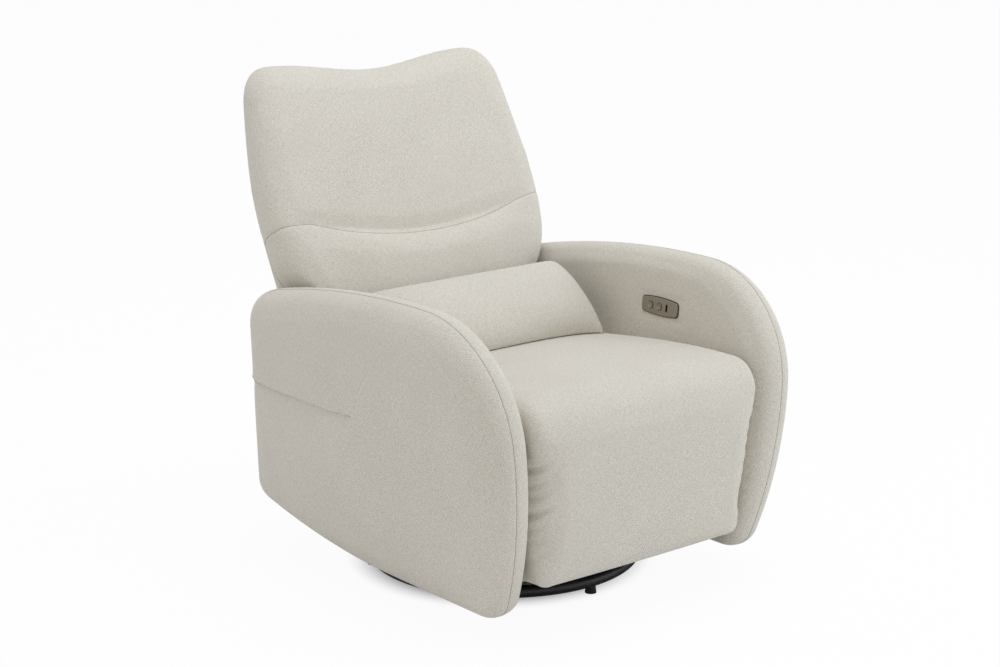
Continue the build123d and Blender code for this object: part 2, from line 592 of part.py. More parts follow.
def make_mechanism():
    """Steel plates on the seat box, with spacers, bolts and pivot bolts."""
    front = (MECH_FRONT_Y, MECH_Z)
    rear = (MECH_REAR_Y, MECH_Z)
    outline = bar(front, rear, MECH_PLATE_WIDTH)
    outline += bar(front, KNEE, MECH_EAR_WIDTH)
    outline += bar(rear, RECLINE, MECH_EAR_WIDTH)
    outline -= disc(KNEE, PIVOT_RADIUS)
    outline -= disc(RECLINE, PIVOT_RADIUS)
    slot_z = RECLINE_FRONT[1] - RECLINE_DIP / 2
    slot_rear = (RECLINE_FRONT[0] + SLOT_PLAY, slot_z)
    slot_front = (RECLINE_FRONT[0] - RECLINE_SWING - SLOT_PLAY, slot_z)
    outline -= bar(slot_rear, slot_front, RECLINE_SLOT_WIDTH)
    plate_outer = MECH_PLATE_X + BRACKET_THICK
    plate = side_plate(outline, MECH_PLATE_X, plate_outer)
    for hole in mech_bolt_holes(BOLT_RADIUS):
        plate -= hole
    keep("mech_plates", *both_sides(plate))
    spacers = []
    bolts = []
    for y in SPACER_YS:
        point = (y, SPACER_Z)
        sleeve = rod_x(point, SPACER_RADIUS, RAIL_OUTER_X, MECH_PLATE_X)
        spacers.append(sleeve - rod_x(point, BOLT_RADIUS, RAIL_OUTER_X, MECH_PLATE_X))
        shaft = rod_x(point, BOLT_RADIUS, RAIL_INNER_X - BOLT_HEAD_THICK, plate_outer)
        head = rod_x(point, BOLT_HEAD_RADIUS, plate_outer, plate_outer + BOLT_HEAD_THICK)
        nut = rod_x(point, BOLT_HEAD_RADIUS, RAIL_INNER_X - BOLT_HEAD_THICK, RAIL_INNER_X)
        bolts.append(shaft + head + nut)
    keep("mech_spacers", *both_sides(*spacers))
    keep("mech_bolts", *both_sides(*bolts))
    for name, point, seat in (
        ("legrest_pivots", KNEE, LEGREST_BRACKET_X),
        ("recline_pivots", RECLINE, BACK_BRACKET_X),
    ):
        shoulder_x = seat + BRACKET_THICK + CLEARANCE
        pivot = rod_x(point, PIVOT_RADIUS, seat - PIVOT_REACH, plate_outer)
        pivot += rod_x(point, PIVOT_HEAD_RADIUS, plate_outer, plate_outer + PIVOT_HEAD_THICK)
        pivot += rod_x(point, SPACER_RADIUS, shoulder_x, MECH_PLATE_X)
        keep(name, *both_sides(pivot))


def make_legrest():
    """Knee roll and front pad with the board, brackets, torque tube and lever."""
    front_y = KNEE_Y - KNEE_RADIUS
    mid = ((front_y + LEGREST_BOTTOM_Y) / 2 - LEGREST_FRONT_BOW, (KNEE_Z + LEGREST_BOTTOM_Z) / 2)
    edge = ThreePointArc((front_y, KNEE_Z), mid, (LEGREST_BOTTOM_Y, LEGREST_BOTTOM_Z))
    rest = Polyline(
        (LEGREST_BOTTOM_Y, LEGREST_BOTTOM_Z),
        (LEGREST_BACK_Y, LEGREST_BOTTOM_Z),
        (LEGREST_BACK_Y, KNEE_Z),
        (front_y, KNEE_Z),
    )
    outline = make_face(Curve() + [edge, rest]) + disc(KNEE, KNEE_RADIUS)
    wide = LEGREST_HALF_WIDTH
    pad = side_plate(outline, -wide, wide)
    wing = outline - Pos(LEGREST_WING_THICK, 0) * outline
    pad += side_plate(wing, -LEGREST_WING_HALF, LEGREST_WING_HALF)
    tube_bore = rod_x(KNEE, TORQUE_TUBE_RADIUS + CLEARANCE, -wide, wide)
    lever_end = (
        KNEE_Y + (LEVER_RADIUS + LEVER_END) * sin(LEVER_HALF_SWEEP),
        KNEE_Z - (LEVER_RADIUS + LEVER_END) * cos(LEVER_HALF_SWEEP),
    )
    half = LEVER_THICK / 2
    room_half = half + LEVER_ROOM
    lever_room = side_plate(bar(KNEE, lever_end, LEVER_WIDTH + 2 * LEVER_ROOM), -room_half, room_half)
    keep("legrest_pad", pad - tube_bore - lever_room)
    board_rear = LEGREST_BACK_Y + BOARD_THICK
    reach = LEGREST_BRACKET_X
    board = block(-reach, reach, LEGREST_BACK_Y, board_rear, BOARD_BOTTOM_Z, BOARD_TOP_Z)
    board_notch = half + BOARD_NOTCH_GAP
    board -= block(
        -board_notch, board_notch, LEGREST_BACK_Y, board_rear, BOARD_TOP_Z - LEVER_RADIUS / 2, BOARD_TOP_Z
    )
    keep("legrest_board", board)
    rail_y = board_rear - LEGREST_BRACKET_WIDTH / 2
    elbow = (rail_y, KNEE_Z - KNEE_RADIUS)
    foot = (rail_y, BOARD_BOTTOM_Z + LEGREST_BRACKET_WIDTH)
    outline = bar(KNEE, elbow, LEGREST_BRACKET_WIDTH)
    outline += bar(elbow, foot, LEGREST_BRACKET_WIDTH)
    outline -= disc(KNEE, PIVOT_RADIUS + RUNNING)
    bracket = side_plate(outline, reach, reach + BRACKET_THICK)
    keep("legrest_brackets", *both_sides(bracket))
    tube = rod_x(KNEE, TORQUE_TUBE_RADIUS, -reach, reach)
    tube -= rod_x(KNEE, TORQUE_TUBE_RADIUS - TORQUE_TUBE_WALL, -reach, reach)
    keep("legrest_torque_tube", tube)
    slot_run = [
        (KNEE_Y + r * sin(LEVER_HALF_SWEEP), KNEE_Z - r * cos(LEVER_HALF_SWEEP))
        for r in (LEVER_SHORT, LEVER_RADIUS)
    ]
    lever = bar(KNEE, lever_end, LEVER_WIDTH) - bar(*slot_run, LEVER_SLOT) - disc(KNEE, TORQUE_TUBE_RADIUS)
    keep("legrest_lever", side_plate(lever, -half, half))


def make_actuator():
    """Gear motor and tube on the chassis, and the sliding rod with its fork."""
    keep(
        "actuator_tube",
        rod_y(0, ROD_Z, TUBE_RADIUS, TUBE_FRONT_Y, GEARBOX_FRONT_Y)
        - rod_y(0, ROD_Z, ROD_RADIUS + CLEARANCE, TUBE_FRONT_Y, GEARBOX_FRONT_Y),
    )
    half = GEARBOX_HALF
    gearbox = block(-half, half, GEARBOX_FRONT_Y, GEARBOX_REAR_Y, ROD_Z - half, ROD_Z + half)
    gearbox = fillet(gearbox.edges().filter_by(Axis.Z), GEARBOX_ROUND)
    motor_y = (GEARBOX_FRONT_Y + GEARBOX_REAR_Y) / 2
    motor_top = ROD_Z - half
    motor = rod_z(0, motor_y, MOTOR_RADIUS, motor_top - MOTOR_DROP, motor_top)
    motor = chamfer(motor.edges().group_by(Axis.Z)[0], MOTOR_CHAMFER)
    collar = rod_z(0, motor_y, MOTOR_RADIUS + MOTOR_COLLAR, motor_top - MOTOR_COLLAR_HEIGHT, motor_top)
    keep("gear_motor", gearbox + motor + collar)
    wide = MOUNT_WIDTH / 2
    rail_y = BOX_STEP_Y - RAIL_THICK
    mount = block(-wide, wide, GEARBOX_REAR_Y, rail_y, motor_top, ROD_Z + half)
    gap = wide - MOUNT_WALL
    mount -= block(-gap, gap, GEARBOX_REAR_Y, rail_y - MOUNT_WALL, motor_top, ROD_Z + half)
    keep("actuator_mount", mount)
    web_y = ROD_PIN_Y + ROD_WEB
    rod = rod_y(0, ROD_Z, ROD_RADIUS, web_y, ROD_TAIL_Y)
    gap = LEVER_THICK / 2 + FORK_GAP
    cheek = gap + FORK_CHEEK
    tall = FORK_HEIGHT / 2
    web = block(-cheek, cheek, web_y, web_y + ROD_WEB_LENGTH, ROD_Z - tall, ROD_Z + tall)
    outline = bar((ROD_PIN_Y, ROD_Z), (web_y, ROD_Z), FORK_HEIGHT)
    outline -= disc((ROD_PIN_Y, ROD_Z), FORK_PIN_RADIUS)
    outline -= Pos(web_y + FORK_HEIGHT, ROD_Z) * Rectangle(2 * FORK_HEIGHT, 2 * FORK_HEIGHT)
    cheeks = both_sides(side_plate(outline, gap, cheek))
    keep("actuator_rod", rod + web + cheeks)
    pin = rod_x((ROD_PIN_Y, ROD_Z), FORK_PIN_RADIUS, -cheek, cheek)
    head_radius = FORK_PIN_RADIUS + FORK_PIN_HEAD
    heads = both_sides(rod_x((ROD_PIN_Y, ROD_Z), head_radius, cheek, cheek + FORK_PIN_HEAD))
    keep("fork_pin", pin + heads)


def back_outline(low_half, waist):
    """Front view of the back in its own plane, with horns and a dipped top."""
    right = [(low_half, 0), (BACK_ARM_HALF, BACK_ARM_T), (BACK_WIDE_HALF, BACK_WIDE_T)]
    if waist:
        right = [(low_half, -BACK_FOOT_DEPTH), (low_half, BACK_WAIST_TOP)] + right[1:]
    shoulder = (BACK_SHOULDER_HALF, BACK_SHOULDER_T)
    horn = (BACK_HORN_HALF, BACK_HORN_T)
    side = Polyline((0, right[0][1]), *right, shoulder)
    edges = [
        side,
        Spline(shoulder, horn, tangents=[side % 1, (-1, 0)]),
        Spline(horn, (0, BACK_DIP_T), tangents=[(-1, 0), (-1, 0)]),
        Line((0, BACK_DIP_T), (0, right[0][1])),
    ]
    half = make_face(Curve() + edges)
    return half + mirror(half, about=Plane.YZ)


def back_block(face, n0, n1):
    """Solid between two depths in front of the back's rear face."""
    return extrude(BACK_PLANE.offset(n0) * face, amount=n1 - n0)


def back_point(t, n):
    """(y, z) of a place at height t along the rear face and depth n in front of it."""
    return (
        BACK_REAR_Y + t * sin(BACK_RAD) - n * cos(BACK_RAD),
        RECLINE_Z + t * cos(BACK_RAD) + n * sin(BACK_RAD),
    )


def back_front_profile():
    """Side view of the padded volume between the frame and the front face, in (y, z)."""
    front = [
        ThreePointArc(BACK_FRONT_LOW, BACK_FRONT_MID, BACK_FRONT_SEAM),
        Line(BACK_FRONT_SEAM, BACK_FRONT_HIGH),
        Line(BACK_FRONT_HIGH, BACK_FRONT_TOP),
    ]
    top = back_point(BACK_HORN_T + BACK_OVERSHOOT, BACK_COVER_THICK)
    low = back_point(0, BACK_COVER_THICK)
    closing = Polyline(BACK_FRONT_TOP, top, low, (low[0], BACK_FRONT_LOW[1]), BACK_FRONT_LOW)
    return make_face(Curve() + front + [closing])


def make_back():
    """Outer panel, frame, webbing, brackets and the two sewn pads."""
    cover = back_block(back_outline(BACK_LOW_HALF, False), 0, BACK_COVER_THICK)
    rear = BACK_REAR_Y - RECLINE_Y
    skirt = disc(RECLINE, rear) - disc(RECLINE, rear - BACK_COVER_THICK)
    lip = (RECLINE_Y + 2 * rear * cos(SKIRT_RAD), RECLINE_Z - 2 * rear * sin(SKIRT_RAD))
    brow = (RECLINE_Y + 2 * rear * cos(BACK_RAD), RECLINE_Z + 2 * rear * sin(BACK_RAD))
    skirt &= make_face(Polyline(RECLINE, brow, lip, close=True))
    skirt_half = STILE_OUTER_X - STILE_WIDTH - SKIRT_GAP
    keep("back_cover", cover + side_plate(skirt, -skirt_half, skirt_half))
    stile_mid = STILE_OUTER_X - STILE_WIDTH / 2
    height = STILE_TOP_T - STILE_BOTTOM_T
    stile_face = Pos(stile_mid, STILE_BOTTOM_T + height / 2) * Rectangle(STILE_WIDTH, height)
    stile = back_block(stile_face, BACK_COVER_THICK, FRAME_FRONT_N)
    frame_mid_n = (BACK_COVER_THICK + FRAME_FRONT_N) / 2
    bracket_outer = BACK_BRACKET_X + BRACKET_THICK
    bolts = []
    for t in BRACKET_BOLT_TS:
        point = back_point(t, frame_mid_n)
        stile -= rod_x(point, BOLT_RADIUS, 0, STILE_OUTER_X)
        shaft = rod_x(point, BOLT_RADIUS, STILE_OUTER_X - STILE_WIDTH, bracket_outer)
        head = rod_x(point, BOLT_HEAD_RADIUS, bracket_outer, bracket_outer + BOLT_HEAD_THICK / 2)
        bolts.append(shaft + head)
    keep("back_stiles", *both_sides(stile))
    keep("bracket_bolts", *both_sides(*bolts))
    inner = 2 * (STILE_OUTER_X - STILE_WIDTH)
    rails = [
        back_block(Pos(0, t) * Rectangle(inner, BACK_RAIL_WIDTH), BACK_COVER_THICK, FRAME_FRONT_N)
        for t in BACK_RAIL_TS
    ]
    keep("back_rails", *rails)
    straps = [
        back_block(Pos(0, t) * Rectangle(inner, WEB_WIDTH), FRAME_FRONT_N - WEB_THICK, FRAME_FRONT_N)
        for t in BACK_WEB_TS
    ]
    keep("back_webbing", *straps)
    post_low = back_point(STILE_BOTTOM_T + BACK_FRAME_THICK / 2, frame_mid_n)
    post_high = back_point(BRACKET_BOLT_TS[-1], frame_mid_n)
    outline = bar(RECLINE, RECLINE_TIP, RECLINE_ARM_WIDTH)
    outline += bar(RECLINE, post_low, BACK_FRAME_THICK)
    outline += bar(post_low, post_high, BACK_FRAME_THICK)
    outline -= disc(RECLINE, PIVOT_RADIUS + RUNNING)
    outline -= disc(RECLINE_TIP, RECLINE_PIN_RADIUS + RUNNING)
    for t in BRACKET_BOLT_TS:
        outline -= disc(back_point(t, frame_mid_n), BOLT_RADIUS)
    bracket = side_plate(outline, BACK_BRACKET_X, bracket_outer)
    keep("back_brackets", *both_sides(bracket))
    padding = side_plate(back_front_profile(), -BACK_WIDE_HALF, BACK_WIDE_HALF)
    padding &= back_block(back_outline(BACK_WAIST_HALF, True), BACK_COVER_THICK, BEYOND)
    core_height = STILE_TOP_T + BACK_FOOT_DEPTH
    core = Pos(0, STILE_TOP_T - core_height / 2) * Rectangle(2 * STILE_OUTER_X, core_height)
    padding -= back_block(core, BACK_COVER_THICK, FRAME_FRONT_N)
    reach = BACK_WIDE_HALF + BACK_OVERSHOOT
    seam_low = SEAM_SIDE_T - SEAM_DIP
    for name, shift, far in (
        ("back_lumbar_pad", -SEAM_GAP / 2, -2 * BACK_FOOT_DEPTH),
        ("back_upper_pad", SEAM_GAP / 2, 2 * BACK_HORN_T),
    ):
        side_t = SEAM_SIDE_T + shift
        seam = ThreePointArc((-reach, side_t), (0, seam_low + shift), (reach, side_t))
        rim = Polyline((reach, side_t), (reach, far), (-reach, far), (-reach, side_t))
        keep(name, padding & back_block(make_face(Curve() + [seam, rim]), 0, BEYOND))


def make_recline_links():
    """Level links from the back's levers to the slots in the mechanism plates."""
    x0 = RECLINE_LINK_X
    x1 = x0 + BRACKET_THICK
    outline = bar(RECLINE_FRONT, RECLINE_TIP, RECLINE_LINK_WIDTH)
    plate_outer = MECH_PLATE_X + BRACKET_THICK
    link = side_plate(outline, x0, x1)
    link += rod_x(RECLINE_TIP, RECLINE_PIN_RADIUS, x1, BACK_BRACKET_X + BRACKET_THICK + CLEARANCE)
    head_x = plate_outer + CLEARANCE
    link += rod_x(RECLINE_FRONT, RECLINE_PIN_RADIUS, x1, head_x)
    link += rod_x(RECLINE_FRONT, BOLT_HEAD_RADIUS, head_x, head_x + RECLINE_HEAD_THICK)
    keep("recline_links", *both_sides(link))


def arm_outline():
    """Side view of an arm along its seam, in (y, height above the reference)."""
    up = -ARM_REF_Z
    nose = (ARM_FRONT_Y, ARM_TOP_Z - ARM_NOSE_RADIUS + up)
    crest = (ARM_FRONT_Y + ARM_NOSE_RADIUS, ARM_TOP_Z + up)
    turn = ARM_NOSE_RADIUS * sqrt(0.5)
    shoulder = (crest[0] - turn, nose[1] + turn)
    toe = (ARM_TOE_Y, ARM_BOTTOM_Z + up)
    rear_top = (ARM_REAR_TOP_Y, ARM_REAR_TOP_Z + up)
    heel = (ARM_HEEL_Y, toe[1])
    rear_low = (ARM_REAR_BOTTOM_Y, toe[1] + ARM_HEEL_RISE)
    heel_mid = ((heel[0] + rear_low[0]) / 2, toe[1] + ARM_HEEL_RISE / 4)
    shin_mid = ((nose[0] + toe[0]) / 2 - ARM_SHIN_BOW, (nose[1] + toe[1]) / 2)
    top_mid = ((crest[0] + rear_top[0]) / 2, (crest[1] + rear_top[1]) / 2 + ARM_TOP_BOW)
    edges = [
        ThreePointArc(toe, shin_mid, nose),
        ThreePointArc(nose, shoulder, crest),
        ThreePointArc(crest, top_mid, rear_top),
        Line(rear_top, rear_low),
        ThreePointArc(rear_low, heel_mid, heel),
        Line(heel, toe),
    ]
    face = make_face(Curve() + edges)
    for corner, radius in (
        (rear_top, ARM_REAR_TOP_RADIUS),
        (toe, ARM_CORNER_RADIUS),
        (rear_low, ARM_CORNER_RADIUS),
    ):
        at_corner = face.vertices().filter_by(lambda v: hypot(v.X - corner[0], v.Y - corner[1]) < TOUCH)
        face = fillet(at_corner, radius)
    return face


def arm_half(face, side):
    """Upholstered half of an arm from its seam to its face, side -1 inner and +1 outer."""
    half = extrude(ARM_PLANE * face, amount=side * ARM_HALF)
    rim = Plane(ARM_PLANE.origin + ARM_PLANE.z_dir * side * ARM_HALF, z_dir=ARM_PLANE.z_dir)
    edges = half.edges().filter_by(lambda e: abs(rim.to_local_coords(e.center()).Z) < TOUCH)
    return fillet(edges, ARM_EDGE_RADIUS)


def control_plane():
    """Plane on the inner face of the right arm, x to the front, y up, z out of the arm."""
    x = ARM_X + ARM_LEAN * (CONTROL_Z - ARM_REF_Z)
    origin = Vector(x, CONTROL_Y, CONTROL_Z) - ARM_TILT * ARM_HALF
    return Plane(origin=origin, x_dir=(0, -1, 0), z_dir=-ARM_TILT)


def make_arms():
    """Plywood frames, upholstered halves, cleats and bolts of both arms."""
    face = arm_outline()
    half = ARM_FRAME_THICK / 2
    board = offset(face, -ARM_FRAME_INSET)
    for y in ARM_WINDOW_YS:
        for z in ARM_WINDOW_ZS:
            board -= Pos(y, z - ARM_REF_Z) * RectangleRounded(ARM_WINDOW, ARM_WINDOW, ARM_WINDOW_RADIUS)
    frame = extrude(ARM_PLANE.offset(-half) * board, amount=ARM_FRAME_THICK)
    slab = extrude(ARM_PLANE.offset(-half) * offset(face, -ARM_FRAME_INSET), amount=ARM_FRAME_THICK)
    cleats = []
    bolts = []
    for y in CLEAT_YS:
        cleat = block(
            RAIL_OUTER_X, ARM_X, y - CLEAT_LENGTH / 2, y + CLEAT_LENGTH / 2, CLEAT_BOTTOM_Z, CLEAT_TOP_Z
        )
        beyond = extrude(ARM_PLANE.offset(-half) * Rectangle(2 * BEYOND, 2 * BEYOND), amount=2 * ARM_HALF)
        hole = rod_x(cleat_bolt(y), BOLT_RADIUS, RAIL_INNER_X, ARM_X + ARM_HALF)
        cleats.append(cleat - beyond - hole)
        frame -= hole
        head_x = RAIL_INNER_X - BOLT_HEAD_THICK
        shaft = rod_x(cleat_bolt(y), BOLT_RADIUS, head_x, ARM_X - ARM_LEAN * CLEAT_LENGTH)
        bolts.append(shaft + rod_x(cleat_bolt(y), BOLT_HEAD_RADIUS, head_x, RAIL_INNER_X))
    inner = arm_half(face, -1) - slab
    outer = arm_half(face, 1) - slab
    for y in CLEAT_YS:
        inner -= block(
            0, ARM_X, y - CLEAT_LENGTH / 2, y + CLEAT_LENGTH / 2, CLEAT_BOTTOM_Z, CLEAT_TOP_Z
        )
    reach = ARM_REAR_BOTTOM_Y + ARM_HALF
    cut_x = ARM_X + ARM_LEAN * (POCKET_Z - ARM_REF_Z) + ARM_HALF
    pocket_low = POCKET_Z - POCKET_HEIGHT / 2
    pocket_high = POCKET_Z + POCKET_HEIGHT / 2
    pocket = block(cut_x - POCKET_DEPTH, cut_x + ARM_HALF, POCKET_FRONT_Y, reach, pocket_low, pocket_high)
    keep("arm_frame_right", frame)
    keep("arm_frame_left", other_side(frame))
    keep("arm_outer_pad_right", outer)
    keep("arm_outer_pad_left", other_side(outer - pocket))
    keep("arm_inner_pad_left", other_side(inner))
    room = extrude(control_plane() * Rectangle(HOUSING_LENGTH, HOUSING_HEIGHT), amount=-HOUSING_DEPTH)
    keep("arm_inner_pad_right", inner - room)
    keep("arm_cleats", *both_sides(*cleats))
    keep("arm_bolts", *both_sides(*bolts))


def control_outline():
    """Bezel outline with softly bowed long edges."""
    half = CONTROL_LENGTH / 2
    tall = CONTROL_HEIGHT / 2
    edge = tall - CONTROL_BOW
    top = ThreePointArc((-half, edge), (0, tall), (half, edge))
    front = ThreePointArc((half, edge), (half + CONTROL_BOW / 2, 0), (half, -edge))
    bottom = ThreePointArc((half, -edge), (0, -tall), (-half, -edge))
    rear = Line((-half, -edge), (-half, edge))
    face = make_face(Curve() + [top, front, bottom, rear])
    return fillet(face.vertices(), CONTROL_CORNER)


def make_controls():
    """Bezel, housing, charging socket and two push buttons."""
    plane = control_plane()
    bezel = extrude(plane * control_outline(), amount=CONTROL_PROUD)
    rim = bezel.edges().filter_by(lambda e: plane.to_local_coords(e.center()).Z > CONTROL_PROUD - TOUCH)
    bezel = chamfer(rim, CONTROL_CHAMFER)
    box = extrude(plane * Rectangle(HOUSING_LENGTH, HOUSING_HEIGHT), amount=-HOUSING_DEPTH)
    shell = 2 * HOUSING_WALL
    box -= extrude(
        plane.offset(-HOUSING_WALL) * Rectangle(HOUSING_LENGTH - shell, HOUSING_HEIGHT - shell),
        amount=-(HOUSING_DEPTH - shell),
    )
    for name, x in zip(("open_button", "close_button"), BUTTON_OFFSETS):
        spot = Pos(x, 0)
        bezel -= extrude(plane * spot * Circle(BUTTON_RADIUS + CLEARANCE), amount=CONTROL_PROUD)
        box -= extrude(plane * spot * Circle(BUTTON_STEM_RADIUS + CLEARANCE), amount=-2 * HOUSING_WALL)
        foot = BUTTON_TRAVEL + CLEARANCE
        cap = extrude(
            plane.offset(foot) * spot * Circle(BUTTON_RADIUS), amount=CONTROL_PROUD + BUTTON_PROUD - foot
        )
        crown = cap.edges().filter_by(
            lambda e: plane.to_local_coords(e.center()).Z > CONTROL_PROUD + BUTTON_PROUD - TOUCH
        )
        cap = fillet(crown, BUTTON_ROUND)
        cap += extrude(plane.offset(foot) * spot * Circle(BUTTON_STEM_RADIUS), amount=-BUTTON_DEPTH)
        keep(name, cap)
    spot = Pos(SOCKET_OFFSET, 0)
    outer = Rectangle(SOCKET_WIDTH, SOCKET_HEIGHT)
    bezel -= extrude(plane * spot * outer, amount=CONTROL_PROUD)
    socket = extrude(plane * spot * outer, amount=CONTROL_PROUD)
    slot_top = plane.offset(CONTROL_PROUD - SOCKET_SLOT_DEPTH)
    socket -= extrude(slot_top * spot * Rectangle(*SOCKET_SLOT), amount=SOCKET_SLOT_DEPTH)
    keep("control_bezel", bezel)
    keep("control_housing", box)
    keep("charging_socket", socket)


def make_pillow():
    """Loose bolster wedged between the seat and the back."""
    oval = Pos(*PILLOW_CENTRE) * Rot(0, 0, PILLOW_TILT) * Ellipse(PILLOW_LONG, PILLOW_SHORT)
    slope = (SEAT_REAR_TOP_Z - SEAT_TOP_Z) / (SEAT_REAR_Y - SEAT_FRONT_Y)
    floor_rear = SEAT_REAR_TOP_Z + slope * (BACK_REAR_Y - SEAT_REAR_Y) + PILLOW_GAP
    floor_front = SEAT_TOP_Z + PILLOW_GAP
    below = [(SEAT_FRONT_Y, floor_front), (BACK_REAR_Y, floor_rear), (BACK_REAR_Y, 0), (SEAT_FRONT_Y, 0)]
    seat_side = make_face(Polyline(*below, close=True))
    arc = ThreePointArc(BACK_FRONT_LOW, BACK_FRONT_MID, BACK_FRONT_SEAM)
    high = (BACK_REAR_Y, BACK_FRONT_SEAM[1])
    low = (BACK_REAR_Y, BACK_FRONT_LOW[1])
    back_side = make_face(Curve() + [arc, Polyline(BACK_FRONT_SEAM, high, low, BACK_FRONT_LOW)])
    profile = oval - seat_side - Pos(-PILLOW_GAP, 0) * back_side
    wide = PILLOW_HALF_WIDTH
    keep("lumbar_pillow", side_plate(profile, -wide, wide))


make_floor_base()
make_turntable()
make_glide_links()
make_glide_carriage()
make_seat_box()
make_seat_cushion()
make_mechanism()
make_legrest()
make_actuator()
make_back()
make_recline_links()
make_arms()
make_controls()
make_pillow()

os.makedirs("parts", exist_ok=True)
for name, shape in PARTS.items():
    export_step(shape, f"parts/{name}.step")
whole = Compound(list(PARTS.values())).bounding_box()
print(len(PARTS), "nodes, box", whole.min, whole.max)
print("actuator stroke", round(ROD_STROKE, 2), "recline link tip", RECLINE_TIP, "knee", KNEE)
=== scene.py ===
# %% [markdown]
# # A swivel glider recliner for a nursery
# The chair's structure comes in as a fixed frame: steel base, links, wooden box and plain pads.
# This lesson dresses it. Each plain pad is replaced by sewn upholstery, and every part gets a finish.
# Loading the frame first means that nothing has to be fitted later: both share one place and one size.

# %% Load the frame
import math
import bpy
import numpy as np
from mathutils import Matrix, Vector
from mathutils.bvhtree import BVHTree
from mathutils.geometry import convex_hull_2d
from mathutils.kdtree import KDTree


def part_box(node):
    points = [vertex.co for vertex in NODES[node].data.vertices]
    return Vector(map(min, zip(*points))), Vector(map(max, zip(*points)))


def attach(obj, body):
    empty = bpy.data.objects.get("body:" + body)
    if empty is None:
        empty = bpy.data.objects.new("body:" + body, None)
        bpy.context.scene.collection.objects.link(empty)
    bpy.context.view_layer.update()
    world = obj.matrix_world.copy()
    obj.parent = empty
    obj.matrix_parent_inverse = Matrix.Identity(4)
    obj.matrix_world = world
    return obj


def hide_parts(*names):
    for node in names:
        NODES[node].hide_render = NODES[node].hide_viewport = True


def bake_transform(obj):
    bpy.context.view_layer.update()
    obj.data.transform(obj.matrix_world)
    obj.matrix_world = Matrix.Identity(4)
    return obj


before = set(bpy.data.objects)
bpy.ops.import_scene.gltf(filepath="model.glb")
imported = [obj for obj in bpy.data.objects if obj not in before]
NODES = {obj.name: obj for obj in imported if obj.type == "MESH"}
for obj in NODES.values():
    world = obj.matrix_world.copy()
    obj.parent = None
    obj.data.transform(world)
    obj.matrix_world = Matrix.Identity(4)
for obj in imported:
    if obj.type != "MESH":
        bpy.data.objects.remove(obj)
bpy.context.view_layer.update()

# %% [markdown]
# ## Small helpers
# Blender's operators act on whatever is selected, so a helper first clears the selection and then picks
# one piece. Modifiers are added and applied in one step, because a finished piece carries none of them.
# Vertex moves by hand would be slow, so a piece's points are read and written as one array.

# %% Helpers for picking, modifying and moving points
MM = 0.001


def activate(piece):
    """Select one piece alone and make it active."""
    bpy.ops.object.select_all(action="DESELECT")
    piece.select_set(True)
    bpy.context.view_layer.objects.active = piece
    return piece


def modify(piece, kind, **settings):
    """Add a modifier, set it and apply it."""
    activate(piece)
    modifier = piece.modifiers.new(kind.title(), kind)
    for name, value in settings.items():
        setattr(modifier, name, value)
    bpy.ops.object.modifier_apply(modifier=modifier.name)
    return piece


def points(mesh):
    """All vertex places of a mesh, one row each."""
    flat = np.empty(len(mesh.vertices) * 3)
    mesh.vertices.foreach_get("co", flat)
    return flat.reshape(-1, 3)


def move_points(piece, places):
    """Write all vertex places of a piece."""
    piece.data.vertices.foreach_set("co", places.astype(np.float32).ravel())
    piece.data.update()


def facings(mesh):
    """All vertex normals of a mesh, one row each."""
    flat = np.empty(len(mesh.vertices) * 3, np.float32)
    mesh.vertex_normals.foreach_get("vector", flat)
    return flat.reshape(-1, 3).astype(float)


def ramp(value, start, end):
    """0 up to the start, 1 from the end on, and a smooth rise between."""
    share = np.clip((value - start) / (end - start), 0, 1)
    return share * share * (3 - 2 * share)


def face_outwards(piece):
    """Turn all faces of a closed piece outwards."""
    activate(piece)
    bpy.ops.object.mode_set(mode="EDIT")
    bpy.ops.mesh.select_all(action="SELECT")
    bpy.ops.mesh.normals_make_consistent(inside=False)
    bpy.ops.object.mode_set(mode="OBJECT")
    return piece


def new_piece(name, corners, faces):
    """A piece from its points and faces, all facing outwards."""
    mesh = bpy.data.meshes.new(name)
    mesh.from_pydata(np.asarray(corners).tolist(), [], faces)
    piece = bpy.data.objects.new(name, mesh)
    bpy.context.scene.collection.objects.link(piece)
    return face_outwards(piece)


def surface(piece):
    """A tree that finds the nearest place on a piece's surface."""
    mesh = piece.data
    return BVHTree.FromPolygons([v.co for v in mesh.vertices], [p.vertices for p in mesh.polygons])


# %% [markdown]
# ## Closed forms from rings
# A pad's raw shape is a stack of rings, like the ribs of a boat: each ring is one closed outline, and
# faces join it to the next. A voxel remesh then turns the raw shape into an even grid of small quads,
# which is what smoothing, swelling and sewing need. A subdivision at the end makes it fine enough.
# Cloth with pressure inside swells as a stuffed cover does. A long run would draw the edges in and wrinkle
# them, so it's short, and each point keeps only its movement along the way that it faces.

# %% Ring builder, remesh and cloth swelling
FOAM_VOXEL = 5.5 * MM
SMOOTHING = 0.5
SWELL_PRESSURE = 4.0
SWELL_FRAMES = 8
SWELL_ROUNDS = 2
INWARD_SHARE = 0.15


def from_rings(name, rings, capped=True):
    """Closed mesh through rings of equal length, capped at both ends or joined into a hoop."""
    rows, around = rings.shape[:2]
    faces = []
    for row in range(rows - 1 if capped else rows):
        for i in range(around):
            j = (i + 1) % around
            low = row * around
            high = (row + 1) % rows * around
            faces.append((low + i, low + j, high + j, high + i))
    if capped:
        faces.append(tuple(range(around)))
        faces.append(tuple(range((rows - 1) * around, rows * around)))
    return new_piece(name, rings.reshape(-1, 3), faces)


def foam(piece, voxel=FOAM_VOXEL, rounds=6):
    """Even quads all over, with the remesh's small steps smoothed away."""
    modify(piece, "REMESH", mode="VOXEL", voxel_size=voxel, use_smooth_shade=True)
    return modify(piece, "SMOOTH", factor=SMOOTHING, iterations=rounds)


